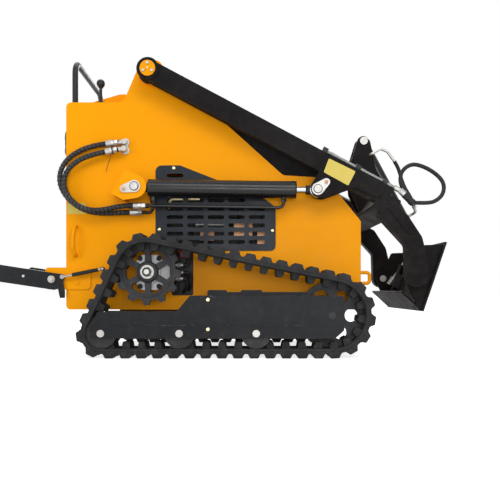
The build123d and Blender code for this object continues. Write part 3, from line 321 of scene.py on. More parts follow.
def lathe(shape, origin, axis, profile, steps=32, turn=0.0):
    """Revolves (distance, radius) stations about an axis; radius 0 closes an end."""
    axis = Vector(axis).normalized()
    first, second = frame_of(axis)
    rings = []
    for distance, radius in profile:
        centre = Vector(origin) + axis * distance
        if radius <= 0:
            rings.append([shape.verts.new(centre)])
            continue
        rings.append([shape.verts.new(centre + radius * (first * cos(a) + second * sin(a)))
                      for a in (turn + 2 * pi * k / steps for k in range(steps))])
    for low, high in zip(rings, rings[1:]):
        for k in range(steps):
            corners = [low[k % len(low)], low[(k + 1) % len(low)],
                       high[(k + 1) % len(high)], high[k % len(high)]]
            face = [v for i, v in enumerate(corners) if v not in corners[:i]]
            if len(face) > 2:
                shape.faces.new(face)


def solid(shape, origin, axis, profile, steps=32):
    """Revolves stations about an axis and closes both ends."""
    lathe(shape, origin, axis, [(profile[0][0], 0), *profile, (profile[-1][0], 0)], steps)


def hex_nut(shape, origin, axis, across, height, turn=0.0):
    """Six-sided head with a turned chamfer."""
    radius = across / sqrt(3)
    lathe(shape, origin, axis, [(0, 0), (0, radius), (height * 0.8, radius),
                                (height, radius * 0.86), (height, 0)], 6, turn)


def bridge(shape, rings, ends=True):
    """Faces between each ring of vertices and the next, and over both ends."""
    for low, high in zip(rings, rings[1:]):
        for k in range(len(low)):
            j = (k + 1) % len(low)
            shape.faces.new((low[k], low[j], high[j], high[k]))
    if ends:
        shape.faces.new(rings[0][::-1])
        shape.faces.new(rings[-1])


def tube(shape, points, radius, steps=14):
    """Round bar through points, with closed ends."""
    points = [Vector(p) for p in points]
    side = None
    rings = []
    for k, point in enumerate(points):
        ahead = points[min(k + 1, len(points) - 1)] - points[max(k - 1, 0)]
        ahead.normalize()
        if side is None:
            side = frame_of(ahead)[0]
        side = (side - ahead * side.dot(ahead)).normalized()
        other = ahead.cross(side)
        rings.append([shape.verts.new(point + radius * (side * cos(a) + other * sin(a)))
                      for a in (2 * pi * i / steps for i in range(steps))])
    bridge(shape, rings)
    return shape


def prism(shape, outline, low, high):
    """Plate with a side-view outline between two distances along Y."""
    bridge(shape, [[shape.verts.new((x, y, z)) for x, z in outline] for y in (low, high)])


def box(shape, corner, opposite, low, high):
    """Square block between two corners in side view and two distances along Y."""
    (x0, z0), (x1, z1) = corner, opposite
    prism(shape, [(x0, z0), (x1, z0), (x1, z1), (x0, z1)], low, high)


def mirrored(shape):
    """Adds the left-hand copy of a right-hand shape."""
    copy = bmesh.ops.duplicate(shape, geom=shape.verts[:] + shape.edges[:] + shape.faces[:])
    for vertex in (g for g in copy["geom"] if isinstance(g, bmesh.types.BMVert)):
        vertex.co.y = -vertex.co.y


SIDES = ("right", "left")
KINDS = {"hex": hex_nut, "turn": lathe, "solid": solid, "bar": tube, "plate": prism, "box": box}


def fitted(name, look, parts, body="chassis", mirror=True, bevel=0.5):
    """One piece of small parts, drawn for the right-hand side and repeated on the left.

    Each part is a kind of KINDS and its arguments. A body name with {} stands for two bodies,
    and makes a piece for each. Returns the pieces.
    """
    pieces = []
    for side in SIDES if "{}" in body else [""]:
        shape = bmesh.new()
        for kind, *values in parts:
            KINDS[kind](shape, *values)
        if side == "left":
            for vertex in shape.verts:
                vertex.co.y = -vertex.co.y
        elif mirror and not side:
            mirrored(shape)
        full_name = name.format(side) if "{}" in name or not side else f"{name}_{side}"
        pieces.append(mesh_piece(full_name, shape, body.format(side), look, bevel))
    return pieces


def filleted(points, bend, count=6):
    """Path with each inner corner rounded to one bend radius, in a count of steps."""
    points = [Vector(point) for point in points]
    result = [points[0]]
    for before, corner, after in zip(points, points[1:], points[2:]):
        arrive, leave = (corner - before).normalized(), (after - corner).normalized()
        turn = arrive.angle(leave)
        cut = bend * sin(turn / 2) / cos(turn / 2)
        inward = (leave - arrive).normalized()
        middle = corner + inward * bend / cos(turn / 2)
        start = corner - arrive * cut
        for k in range(count + 1):
            angle = turn * k / count
            result.append(middle + (start - middle) * cos(angle) + arrive * bend * sin(angle))
    return result + [points[-1]]


def ring(inner, outer, height):
    """Lathe stations of a flat washer."""
    return [(0, inner), (0, outer), (height, outer), (height, inner), (0, inner)]


def stub(radius, full, length=0, tip=0):
    """Lathe stations of a round end: its full thickness, then a taper to a tip if it has one."""
    return [(0, 0), (0, radius), (full, radius), *([(length, tip)] if length else []),
            (length or full, 0)]


def knob(radius, height):
    """Lathe stations of a domed bolt head."""
    return [(0, 0), (0, radius), (height * 0.5, radius * 0.96), (height * 0.85, radius * 0.7),
            (height, radius * 0.3), (height, 0)]


# -------------------------------- hoses
LIFT_HOSE_R, THIN_HOSE_R, WRAP_R = 14.0, 9.5, 2.4
WRAP_SINK, WRAP_PITCH = 0.4, 19.0   # the guard's strand lies a little in the hose
BARE_ENDS = 3                       # points of the line at each end that the guard leaves bare
# length of each hose in mm, and the points of its route from the cylinder to the side panel
LIFT_ROUTES = {
    "outer": (701, [
        (-395, -392, 700), (-440, -392, 697), (-492, -392, 684), (-556, -392, 676),
        (-622, -390, 692), (-676, -387, 738), (-702, -382, 800), (-690, -379, 862),
        (-641, -374, 912), (-572, -370, 942), (-505, -367, 957), (-445, -366, 968)]),
    "inner": (777, [
        (-395, -362, 672), (-440, -362, 671), (-500, -362, 668), (-566, -361, 670),
        (-634, -360, 694), (-692, -359, 742), (-724, -358, 800), (-726, -356, 862),
        (-694, -355, 922), (-634, -352, 966), (-560, -352, 990), (-500, -352, 999),
        (-445, -352, 1004)]),
}
TILT_ROUTE = [(922.3, -64, 970.6), (936, -64, 951), (950, -62, 915), (962, -59, 872),
              (980, -55, 832), (1004, -49, 798), (1022, -44.8, 766), (1028.7, -40.8, 745.6)]
AUX_ROUTE = [(941.3, -404, 712), (985, -404, 710), (1034, -403, 716), (1074, -401, 752),
             (1078, -398, 806), (1040, -394, 850), (984, -389, 884), (930, -384, 898),
             (884, -379, 866), (877, -376, 818), (892, -376, 776), (911, -376, 748),
             (922.2, -376, 725.2)]


def spline_points(route):
    """Points along the smooth NURBS line that a route controls, in mm."""
    curve = bpy.data.curves.new("route", "CURVE")
    curve.dimensions = "3D"
    line = curve.splines.new("NURBS")
    line.points.add(len(route) - 1)
    for point, place in zip(line.points, route):
        point.co = (*place, 1)
    line.order_u, line.use_endpoint_u, line.resolution_u = 3, True, 12
    obj = placed("route", curve)
    bpy.context.view_layer.update()
    mesh = bpy.data.meshes.new_from_object(obj)
    points = [v.co.copy() for v in mesh.vertices]
    bpy.data.objects.remove(obj)
    bpy.data.meshes.remove(mesh)
    return points


def spiral(points, radius, pitch):
    """Helix round a line, as points."""
    turned, result = 0.0, []
    side = frame_of(points[1] - points[0])[0]
    for k, point in enumerate(points):
        ahead = (points[min(k + 1, len(points) - 1)] - points[max(k - 1, 0)]).normalized()
        side = (side - ahead * side.dot(ahead)).normalized()
        if k:
            turned += (point - points[k - 1]).length / pitch * 2 * pi
        result.append(point + radius * (side * cos(turned) + ahead.cross(side) * sin(turned)))
    return result


def divided(points, step):
    """The same line with points no further apart than a step."""
    result = [points[0]]
    for start, end in zip(points, points[1:]):
        count = max(1, ceil((end - start).length / step))
        result += [start.lerp(end, k / count) for k in range(1, count + 1)]
    return result


def make_hose(name, route, radius, wrapped):
    """Rubber hose along a route, spirally wrapped when it is a thick one; returns its pieces."""
    line = spline_points(route)
    skin = radius - WRAP_R if wrapped else radius
    pieces = [mesh_piece(f"{name}_skin", tube(bmesh.new(), line, skin, 20), None, "hose_rubber")]
    if wrapped:
        wrap = bmesh.new()
        fine = divided(line[BARE_ENDS:-BARE_ENDS], 3.0)
        tube(wrap, spiral(fine, skin - WRAP_SINK, WRAP_PITCH), WRAP_R + WRAP_SINK, 8)
        pieces.append(mesh_piece(f"{name}_wrap", wrap, None, "wrap_plastic"))
    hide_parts(name)
    return pieces


for side, hand in (("right", 1), ("left", -1)):
    for level, (length, route) in LIFT_ROUTES.items():
        for piece in make_hose(f"lift_hose_{level}_{side}", [(x, y * hand, z) for x, y, z in route],
                               LIFT_HOSE_R, True):
            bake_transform(piece)
for piece in make_hose("tilt_hose", TILT_ROUTE, THIN_HOSE_R, False):
    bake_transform(piece)
for piece in make_hose("aux_hose", AUX_ROUTE, THIN_HOSE_R, False):
    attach(piece, "loader_arm")

# -------------------------------- rubber tracks
# rear roller, idler and sprocket: x, z and radius of the belt's inner face
WHEELS = ((-493, 112, 68), (541, 194, 150), (-294, 388, 130))
PITCH, PITCH_DEPTH, BELT, TREAD = 72, 7.5, 24, 20
TRACK_MID = 450
FIRST_LUG = 102.5                   # degrees round the sprocket


def loop_parts():
    """Straight runs and arcs of the belt's inner face, with their lengths on the pitch line."""
    normals = []
    for k in range(3):
        (x0, z0, r0), (x1, z1, r1) = WHEELS[k], WHEELS[(k + 1) % 3]
        reach = hypot(x1 - x0, z1 - z0)
        dx, dz, lean = (x1 - x0) / reach, (z1 - z0) / reach, (r0 - r1) / reach
        rise = sqrt(1 - lean * lean)
        normals.append((dx * lean + dz * rise, dz * lean - dx * rise))
    parts = []
    for k in range(3):
        x, z, radius = WHEELS[k]
        arrive, leave = normals[k - 1], normals[k]
        start = atan2(arrive[1], arrive[0])
        sweep = (atan2(leave[1], leave[0]) - start) % (2 * pi)
        parts.append(("arc", (x, z, radius), start, sweep, (radius + PITCH_DEPTH) * sweep))
        x1, z1, r1 = WHEELS[(k + 1) % 3]
        tail = (x + radius * leave[0], z + radius * leave[1])
        tip = (x1 + r1 * leave[0], z1 + r1 * leave[1])
        parts.append(("run", tail, tip, leave, hypot(tip[0] - tail[0], tip[1] - tail[1])))
    return parts


PARTS = loop_parts()
LOOP = sum(part[4] for part in PARTS)
LINKS = round(LOOP / PITCH)


def station(distance):
    """Inner-face point and outward direction at a distance round the loop."""
    distance %= LOOP
    for part in PARTS:
        if distance <= part[4]:
            share = distance / part[4]
            if part[0] == "arc":
                angle = part[2] + part[3] * share
                x, z, radius = part[1]
                n = (cos(angle), sin(angle))
                return (x + radius * n[0], z + radius * n[1]), n
            (x0, z0), (x1, z1) = part[1], part[2]
            return (x0 + (x1 - x0) * share, z0 + (z1 - z0) * share), part[3]
        distance -= part[4]
    return station(0)


before_sprocket = sum(part[4] for part in PARTS[:4])
lug_angle = (radians(FIRST_LUG) - PARTS[4][2]) % (2 * pi)
FIRST = before_sprocket + lug_angle * (WHEELS[2][2] + PITCH_DEPTH)


def swept_belt(shape, section, count):
    """Sweeps a closed (y, height) section round the loop."""
    rings = []
    for k in range(count):
        (x, z), n = station(FIRST + LOOP * k / count)
        rings.append([shape.verts.new((x + n[0] * h, y, z + n[1] * h)) for y, h in section])
    bridge(shape, rings + rings[:1], ends=False)


def lug(shape, distance, sections):
    """Block on the loop: each section is (y, [(along, height), ...]) and they are joined up."""
    (x, z), n = station(distance)
    ahead = (-n[1], n[0])
    bridge(shape, [
        [shape.verts.new((x + ahead[0] * u + n[0] * h, y, z + ahead[1] * u + n[1] * h))
         for u, h in outline] for y, outline in sections])


def tread_outline(share):
    """Side view of a tread lug, from inside the belt to a share of its full height."""
    sink, top = BELT - 4.5, BELT + (TREAD - 0.1) * share
    foot = BELT + 0.6
    half = [(30, sink), (30, foot), (26, BELT + (top - BELT) * 0.2),
            (21.5, BELT + (top - BELT) * 0.72), (18.5, top - 0.8 * share), (16, top)]
    return [(-u, h) for u, h in half] + half[::-1]


def drive_outline(base, tip, depth):
    """Side view of an inner lug."""
    return [(base / 2, 3), (-base / 2, 3), (-base / 2 + 1.5, -3), (-tip / 2 - 2, -depth + 6),
            (-tip / 2 + 2, -depth), (tip / 2 - 2, -depth), (tip / 2 + 2, -depth + 6),
            (base / 2 - 1.5, -3)]


# half of the belt's section, (distance from its middle, height); it is open in the middle
BELT_HALF = [(20, 0.4), (84, 0.4), (88.5, 2.5), (89.8, 6), (89.8, 11), (87.8, 12.4), (87.8, 14.2),
             (89.6, 15.6), (89.0, 20), (86, 23.4), (80, 24), (20, 24)]
# across a tread lug: distance from the middle, share of full height, share of full length
TREAD_SECTIONS = [(y * 0.995, share, w) for y, share, w in (
    (-90, 0.3, 0.88), (-85, 0.88, 0.96), (-80, 1.0, 1.0), (-24, 1.0, 1.0), (-18, 0.8, 0.92),
    (18, 0.8, 0.92), (24, 1.0, 1.0), (80, 1.0, 1.0), (85, 0.88, 0.96), (90, 0.3, 0.88))]
# across a drive lug: distance from its row, share of full length
DRIVE_SECTIONS = ((-19, 0.82), (-16.5, 0.97), (16.5, 0.97), (19, 0.82))


def make_track(side, hand):
    """Belt, tread and drive lugs of one track."""
    mid = -TRACK_MID * hand
    shape = bmesh.new()
    for sign in (-1, 1):
        swept_belt(shape, [(mid + sign * y, h) for y, h in BELT_HALF], LINKS * 5)
    for k in range(LINKS):
        at = FIRST + LOOP * k / LINKS
        lug(shape, at, [(mid + y, [(u * w, h) for u, h in tread_outline(share)])
                        for y, share, w in TREAD_SECTIONS])
        lug(shape, at, [(mid - 21, [(13, 1), (-13, 1), (-13, 23), (13, 23)]),
                        (mid + 21, [(13, 1), (-13, 1), (-13, 23), (13, 23)])])
        for row in (-41, 41):
            lug(shape, at, [(mid + row + y, drive_outline(43 * w, 28 * w, 30))
                            for y, w in DRIVE_SECTIONS])
    piece = mesh_piece(f"track_{side}_rubber", shape, "chassis", "track_rubber", angle=28)
    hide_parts(f"track_{side}")


make_track("right", 1)
make_track("left", -1)

# -------------------------------- pins, bolts and fittings
LIFT_BASE, LIFT_ROD_PIN, ARM_PIVOT = (-360, 784), (486, 772), (-300, 1330)
SPROCKET_X, SPROCKET_Z = WHEELS[2][:2]
LIFT_Y, LINE_Y = -392, -362         # planes of the right lift cylinder and of its inner line
MOTOR_FACE, PIVOT_FACE = -396, -433.8
CUT_OUT_Y = -371                    # plane of the motor's fittings in the side panel's cut-out
fitted("base_pin_bolts", "copper_brown", [
    ("hex", (-408.5, -447.8, 771.9), OUT, 15, 6, 0.3),
    ("turn", (-408.5, -453.6, 771.9), OUT, knob(4, 2))])
fitted("rod_pin_bolts", "copper_brown", [
    ("hex", (524.9, -443.8, 803.5), OUT, 15, 6, 0.2),
    ("turn", (524.9, -449.6, 803.5), OUT, knob(4, 2))], "loader_arm")
for name, body, (x, z), face in (("base_pin_ring", "chassis", LIFT_BASE, 441),
                                 ("rod_pin_ring", "loader_arm", LIFT_ROD_PIN, 437)):
    fitted(name, "cast_dark", [
        ("turn", (x, -face + 0.2, z), OUT, ring(17.6, 21, 2.6), 40)], body)
    fitted(name + "_cap", "zinc", [
        ("turn", (x, -face - 4.8, z), OUT, knob(11, 1.6), 40)], body)
fitted("hub_boss", "cast_dark", [
    ("solid", (SPROCKET_X, -461, SPROCKET_Z), OUT, [(0, 50), (8, 48), (14, 43), (17, 38)], 48)])
fitted("hub_nut", "zinc", [
    ("turn", (SPROCKET_X, -477.5, SPROCKET_Z), OUT, ring(12, 31, 4.5), 48),
    ("hex", (SPROCKET_X, -481.5, SPROCKET_Z), OUT, 42, 15, 0.4)])
fitted("hub_stud", "zinc", [
    ("turn", (SPROCKET_X, -496, SPROCKET_Z), OUT, stub(13, 6.5, 8, 11))])
fitted("motor_bolts", "black_plastic", [
    part for dx in (-44, 44) for dz in (-65, 65) for part in (
        ("turn", (SPROCKET_X + dx, MOTOR_FACE - 6.8, SPROCKET_Z + dz), OUT, ring(5, 12, 2)),
        ("hex", (SPROCKET_X + dx, MOTOR_FACE - 8.6, SPROCKET_Z + dz), OUT, 17, 9, 0.3))])
fitted("motor_fittings", "zinc", [
    part for z in (423, 388, 360) for part in (
        ("solid", (-177, CUT_OUT_Y, z), AHEAD, [(0, 10), (12, 10), (12, 8), (38, 8)]),
        ("hex", (-166, CUT_OUT_Y, z), AHEAD, 22, 12))])
fitted("motor_lines", "hose_rubber", [
    ("bar", filleted(points, bend), radius) for radius, bend, points in (
        (9, 12, [(-141, CUT_OUT_Y, 423), (-118, CUT_OUT_Y, 423), (-116, -358, 492)]),
        (9, 14, [(-141, CUT_OUT_Y, 388), (-112, -368, 388), (-108, -345, 340), (-120, -300, 300)]),
        (9, 12, [(-141, CUT_OUT_Y, 360), (-126, CUT_OUT_Y, 360), (-126, -348, 318),
                 (-150, -300, 292)]),
        (8, 20, [(-172, -350, 292), (-168, -352, 360), (-166, -350, 482)]))])
fitted("motor_cap", "red_cap", [
    ("turn", (-150, -316, 474), OUT, stub(15, 26, 30, 12))])
fitted("grille_bolts", "pale_gold", [
    ("turn", (x, -333.8, z), OUT, knob(8, 5))
    for x, z in ((-189, 886), (-257.5, 593.6), (280.8, 588.4))])
fitted("frame_bolts", "pale_gold", [
    ("turn", (-15, -536.8, z), OUT, stub(8, 3, 3.9, 6.8)) for z in (131, 263)])
fitted("sprocket_bead", "cast_dark", [
    ("turn", (SPROCKET_X, -466.6, SPROCKET_Z), OUT,
     [(0, 107), (0, 117), (2.4, 116), (3.6, 113.5), (3.6, 110.5), (2.4, 108), (0, 107)], 72)])
fitted("platform_pin_heads", "zinc", [
    ("turn", (-766, -355.8, 357), OUT, ring(6, 17, 2)),
    ("hex", (-766, -357.6, 357), OUT, 22, 9, 0.4),
    ("turn", (-521, -361, 406), OUT, knob(8, 9))])
fitted("strut_collars", "zinc", [
    ("solid", (-521, -360, 406), (-0.9808, 0, -0.1951),
     [(9, 6.5), (20, 6.5), (22, 8.5), (24, 8.5)], 20)], "strut_tube_{}")

# lift hoses: crimped collars and nuts at both ends
CRIMP = [(0, 15.4), (3, 15.7), (9, 15.2), (12, 15.7), (18, 15.2), (21, 15.7), (30, 15.4),
         (34, 13.4), (38, 12.8)]
LIFT_FALL = 0.0142                  # of the lift cylinder and its lines, for each mm forward
ALONG_LINE, ALONG_LIFT = (1, 0, -0.014), (0.9999, 0, -LIFT_FALL)
fitted("hose_end_collars", "zinc", [
    ("solid", (-371, LIFT_Y, 700), ALONG_LINE, CRIMP, 28),
    ("solid", (-391, LINE_Y, 672.3), ALONG_LINE, CRIMP, 28)], "lift_barrel_{}")
fitted("hose_end_nuts", "zinc", [
    ("hex", (-334, LIFT_Y, 699.5), ALONG_LINE, 28, 20, 0.5),
    ("hex", (-354, LINE_Y, 671.8), ALONG_LINE, 28, 19, 0.2)], "lift_barrel_{}")
fitted("hose_end_rubber", "hose_rubber", [
    ("turn", (-397, LIFT_Y, 700.3), ALONG_LINE, stub(13.8, 27), 28)], "lift_barrel_{}")
for name, start, heading in (("outer_port_end", (-507, -366, 956.8), (0.984, 0, 0.18)),
                             ("inner_port_end", (-507, -352, 998.2), (0.996, 0, 0.09))):
    first = Vector(start)
    fitted(name, "zinc", [
        ("solid", start, heading, CRIMP, 28),
        ("hex", tuple(first + Vector(heading) * 38), heading, 27, 18, 0.3),
        ("turn", tuple(first + Vector(heading) * 55), heading, stub(11.5, 12))])

# cable tie round the outer hose, with its loose tail
fitted("cable_tie", "black_plastic", [
    ("bar", [(-471, -383, 985), (-474, -379, 960), (-487, -362, 925), (-503, -347, 888),
             (-508, -344, 868)], 1.4, 8),
    ("turn", (-476, -366, 962.3), (0.984, 0, 0.18), ring(14.5, 17.2, 5), 32)], mirror=False)

# -------------------------------- lift cylinders
def on_lift(distance):
    """Point on the right lift cylinder's axis, from its base pin."""
    return (LIFT_BASE[0] + distance, LIFT_Y, LIFT_BASE[1] - distance * LIFT_FALL)


fitted("barrel_collars", "barrel_black", [
    ("turn", on_lift(60), ALONG_LIFT, [(-3, 19), (-3, 36), (0, 38), (4, 41), (7, 41), (9, 40)], 48),
    ("turn", on_lift(722), ALONG_LIFT, [(0, 40), (0, 41.2), (20, 41.2), (22, 39), (24, 41.2),
                                        (27, 40), (27, 30), (29, 24), (29, 15.4)], 48)],
    "lift_barrel_{}")
fitted("rod_eye_necks", "barrel_black", [
    ("turn", on_lift(792), ALONG_LIFT,
     [(0, 15.1), (0, 20), (3, 22), (24, 22), (30, 24), (30, 15)], 32)], "lift_rod_{}")
pipes = fitted("barrel_line_{}_pipes", "barrel_black", [
    ("bar", filleted([(-340, LIFT_Y, 699.7), (331, LIFT_Y, 690.2), (331, LIFT_Y, 740)], 26, 8),
     7.5, 18),
    ("turn", (-318, LIFT_Y, 699.4), ALONG_LINE, stub(11, 16, 18, 9)),
    ("hex", (331, LIFT_Y, 717), UP, 24, 14),
    ("solid", (331, LIFT_Y, 729), UP, [(0, 13), (14, 15)]),
    ("bar", filleted([(-345, LINE_Y, 671.7), (-296, LINE_Y, 671), (-282, -372, 690),
                      (-282, -374, 745)], 12, 6), 7.5, 18),
    ("hex", (-282, -374, 712), UP, 24, 14),
    ("solid", (-282, -374, 724), UP, [(0, 13), (24, 15)])], "lift_barrel_{}", bevel=0.4)
for side, piece in zip(SIDES, pipes):
    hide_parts(f"barrel_line_{side}")

# -------------------------------- loader arm
collar, block = Vector((874.9, -404, 766.4)), Vector((925, -404, 716))
heading = (block - collar).normalized()
fitted("coupler_sleeve", "hose_rubber", [
    ("turn", tuple(collar + heading * 22), tuple(heading),
     [(0, 0), (0, 16.6), (10, 16.2), (49, 16.2), (56, 17.2), (62, 15), (64, 0)], 28),
    ("solid", (921, -404, 716), AHEAD, [(0, 13.5), (18, 12)], 24)], "loader_arm", mirror=False)
fitted("coupler_nuts", "zinc", [
    ("hex", tuple(collar - heading * 6), tuple(heading), 27, 16),
    ("turn", (922, -371, 725), (-0.1, 0, 0.99), stub(11, 14))], "loader_arm", mirror=False)
ARM_COS, ARM_SIN = 0.883, 0.47      # of the arm tube's fall, 28 degrees
fitted("line_clamps", "cast_dark", [
    ("plate", [(x + along * ARM_COS + up * ARM_SIN, z - along * ARM_SIN + up * ARM_COS)
               for along, up in ((13, -10), (-13, -10), (-13, 11), (13, 11))], -417, -367)
    for x, z in ((522.9, 955.9), (676, 874.5), (800, 808.5))], "loader_arm")
fitted("arm_label", "label_yellow", [
    ("plate", [(541, 911), (656, 855), (658.5, 850), (628.5, 791), (623, 789), (515.5, 848),
               (514, 853), (536, 910)], -430.7, -429.8)], "loader_arm", bevel=0)
fitted("arm_weld", "arm_black", [
    ("bar", [(806, -422.5, 690), (838, -422.5, 732), (926, -422.5, 566), (905, -422.5, 572),
             (806, -422.5, 690)], 3.2, 8),
    ("bar", filleted([(546, -424, 927), (800, -424, 799), (774, -424, 727)], 24), 2.6, 8)],
    "loader_arm")
fitted("panel_label", "label_yellow", [
    ("plate", [(-694, 668), (-610, 668), (-607, 671), (-607, 717), (-610, 720), (-694, 720),
               (-697, 717), (-697, 671)], -330.6, -329.8)], bevel=0)

# -------------------------------- quick attach
fitted("attach_pin_heads", "zinc", [
    ("turn", (948, -336, 371), LEFTWARD, stub(19, 5, 7, 17), 36)], "quick_attach")
fitted("latch_rods", "zinc", [
    ("bar", [(1060, -306, 462), (983, -306, 350)], 7, 14),
    ("bar", [(1001, -306, 376), (974, -306, 337)], 15, 20)], "quick_attach")
fitted("latch_guides", "cast_dark", [
    ("turn", (1048, -306, 444.5), (-0.566, 0, -0.824), ring(7, 13, 22), 20)], "quick_attach")

# -------------------------------- engine room, seen through the grilles
fitted("engine_rods", "zinc", [
    ("bar", [(-81, -250, 625), (52, -250, 625)], 9.5, 16),
    ("turn", (-90, -250, 625), AHEAD, stub(14, 14)),
    ("turn", (-38, -250, 625), AHEAD, ring(9, 13, 10))])
fitted("engine_strip", "pale_gold", [
    ("bar", filleted([(-222, -255, 700), (-218, -255, 748), (-70, -255, 748)], 20), 7)])
fitted("engine_copper", "copper_brown", [
    ("box", (96, 560), (186, 632), -255, -205),
    ("box", (210, 530), (262, 590), -250, -200),
    ("box", (-70, 548), (0, 592), -240, -200)])
# dark boxes for engine-room parts, and thin black sheets that are painted shade: they stand for the
# shaded engine room behind the grilles
fitted("engine_covers_and_shade_sheets", "black_plastic", [
    ("box", (-236, 470), (-110, 590), -240, -150),
    ("plate", [(-240, 600), (240, 600), (240, 700), (60, 790), (-150, 870), (-240, 870)],
     -196, -188),
    ("box", (-110, 440), (300, 604), -204, -196),
    ("solid", (-40, -215, 682), AHEAD, [(0, 42), (12, 52), (150, 52), (162, 42)], 32),
    ("turn", (150, -215, 800), REARWARD, stub(30, 210), 24),
    # black sheet in the side panel's cut-out: painted shade behind the motor's fittings
    ("box", (-212, 262), (-84, 500), -312, -306)], bevel=2)
fitted("engine_fins", "engine_cast", [
    ("plate", [(x - 38, 670.5), (x + 38, 670.5), (x + 34, 686), (x - 34, 686)], y, y + 5)
    for x in (40, 150, 260) for y in range(-140, 0, 20)])
fitted("air_cleaner", "black_plastic", [
    ("turn", (150, -130, 756), LEFTWARD, [(0, 0), (0, 50), (6, 62), (30, 62), (32, 58), (36, 62),
                                          (236, 62), (254, 52), (260, 0)], 40),
    ("bar", filleted([(150, 60, 700), (150, 160, 720), (60, 170, 700), (40, 150, 676)], 30),
     22, 18)], mirror=False)
fitted("air_cleaner_straps", "zinc", [
    ("turn", (150, y, 756), LEFTWARD, ring(61, 64, 14), 40) for y in (-70, 60)] + [
    ("box", (140, 684), (160, 700), y, y + 14) for y in (-70, 60)] + [
    ("box", (100, 670), (200, 674), -80, 80)], mirror=False)
fitted("engine_pulley", "cast_dark", [
    ("solid", (364, 0, 470), AHEAD,
     [(-8, 24), (0, 70), (6, 74), (14, 66), (22, 74), (28, 70), (28, 40), (20, 30)], 40),
    ("turn", (364, -90, 580), AHEAD,
     [(-8, 0), (-8, 20), (6, 40), (14, 34), (22, 40), (24, 0)], 32)], mirror=False)

# -------------------------------- hood, platform and rear wall
HOOD = ((-160, 1292), (0.8657, -0.5006))        # start of each face, and its direction forward
DECK = ((-1094, 424), (0.9881, -0.1539))
CONSOLE = ((-625, 1250), (0.9606, 0.2781))


def sloped(face, along, out):
    """Side-view point on a sloping face: along it from its start, and out from it."""
    (x, z), (ux, uz) = face
    return (x + along * ux - out * uz, z + along * uz + out * ux)


def on_face(face, along, out, y):
    """Point on a sloping face at a distance across the machine."""
    x, z = sloped(face, along, out)
    return (x, y, z)


def square_to(face):
    """Direction out of a sloping face."""
    return (-face[1][1], 0, face[1][0])


def pad_outline(face, low, high, base, top, edge=2):
    """Side view of a plate that lies on a sloping face, with its upper edges broken."""
    return [sloped(face, *p) for p in
            ((low, base), (high, base), (high, top - edge * 0.4), (high - edge, top),
             (low + edge, top), (low, top - edge * 0.4))]


fitted("hood_louvres", "arm_black", [
    ("plate", [sloped(HOOD, at + a, n) for a, n in ((0, -1), (26, -1), (24, 7), (20, 8))],
     -230, -30) for at in range(120, 480, 40)], "hood", bevel=1)
fitted("hood_handle", "black_plastic", [
    ("bar", filleted([on_face(HOOD, 735, n, y) for n, y in
                      ((-1, -75), (34, -75), (34, 75), (-1, 75))], 14), 7),
    *(("turn", on_face(HOOD, 735, -0.5, y), square_to(HOOD), ring(6, 14, 4)) for y in (-75, 75))],
    "hood", mirror=False)
fitted("hood_bolts", "zinc", [
    ("turn", on_face(HOOD, at, -0.3, -292), square_to(HOOD), knob(8, 5))
    for at in (60, 300, 540, 760)], "hood")
fitted("platform_mat", "tread_plate", [
    ("plate", pad_outline(DECK, 16, 228, -0.3, 2.4), -318, 318),
    *(("plate", pad_outline(DECK, at, at + 7, 2, 5, 1.5), -312, 312)
      for at in range(24, 220, 16))], "platform", mirror=False)
fitted("platform_mat_bolts", "zinc", [
    ("turn", on_face(DECK, at, 2.2, -305), square_to(DECK), knob(7, 3.4))
    for at in (35.5, 211.5)], "platform")
fitted("platform_grip_edge", "zinc", [
    ("turn", (x, -348.7, z), OUT, knob(7, 4)) for x, z in ((-1080, 400), (-900, 372))],
    "platform")
fitted("rear_cover", "body_paint", [
    ("box", (-706, 425), (-702, 905), -230, 230)], mirror=False, bevel=1.2)
fitted("rear_louvres", "body_paint", [
    ("plate", [(-705.6, z), (-705.6, z + 24), (-708, z + 21), (-714.5, z + 2)], -170, -20)
    for z in range(640, 860, 34)], bevel=1)
fitted("rear_bolts", "zinc", [
    part for y, z in ((-214, 441), (-214, 665), (-214, 889), (-75, 441), (-75, 889)) for part in (
        ("turn", (-705.8, y, z), REARWARD, ring(3, 9.5, 1.6)),
        ("hex", (-707, y, z), REARWARD, 13, 5.5))])
fitted("rear_handle", "black_plastic", [
    ("bar", filleted([(-705, -60, 560), (-730, -60, 560), (-730, 60, 560), (-705, 60, 560)],
                     12), 6)], mirror=False)

# -------------------------------- console and pivots
fitted("console_plate", "black_plastic", [
    ("plate", pad_outline(CONSOLE, 16, 132, -0.3, 2.6), -124, 124)], mirror=False, bevel=0.8)
UP_FACE = square_to(CONSOLE)
fitted("console_gauges", "grille_paint", [
    ("solid", on_face(CONSOLE, 74, 2.2, y), UP_FACE,
     [(0, 27), (5, 27), (7, 24), (7, 21), (3, 20)], 40)
    for y in (-72, 0)], mirror=False)
fitted("console_dials", "motor_grey", [
    ("solid", on_face(CONSOLE, 74, 5, y), UP_FACE, [(0, 20.5), (1, 20)], 40)
    for y in (-72, 0)], mirror=False)
fitted("console_key", "zinc", [
    ("turn", on_face(CONSOLE, 92, 2.2, 62), UP_FACE, ring(7, 15, 5), 28),
    ("turn", on_face(CONSOLE, 92, 2.2, 62), UP_FACE, knob(8, 8), 28),
    ("plate", [sloped(CONSOLE, a, n) for a, n in ((84, 8), (100, 8), (97, 28), (87, 28))],
     60.5, 63.5)], mirror=False)
fitted("console_button", "red_cap", [
    ("solid", on_face(CONSOLE, 60, 2.2, 98), UP_FACE,
     [(0, 9), (9, 9), (10, 16), (17, 15), (20, 9)], 28)], mirror=False)
fitted("console_bolts", "zinc", [
    ("turn", on_face(CONSOLE, at, 2.4, -114), UP_FACE, knob(4.5, 3)) for at in (26, 122)])
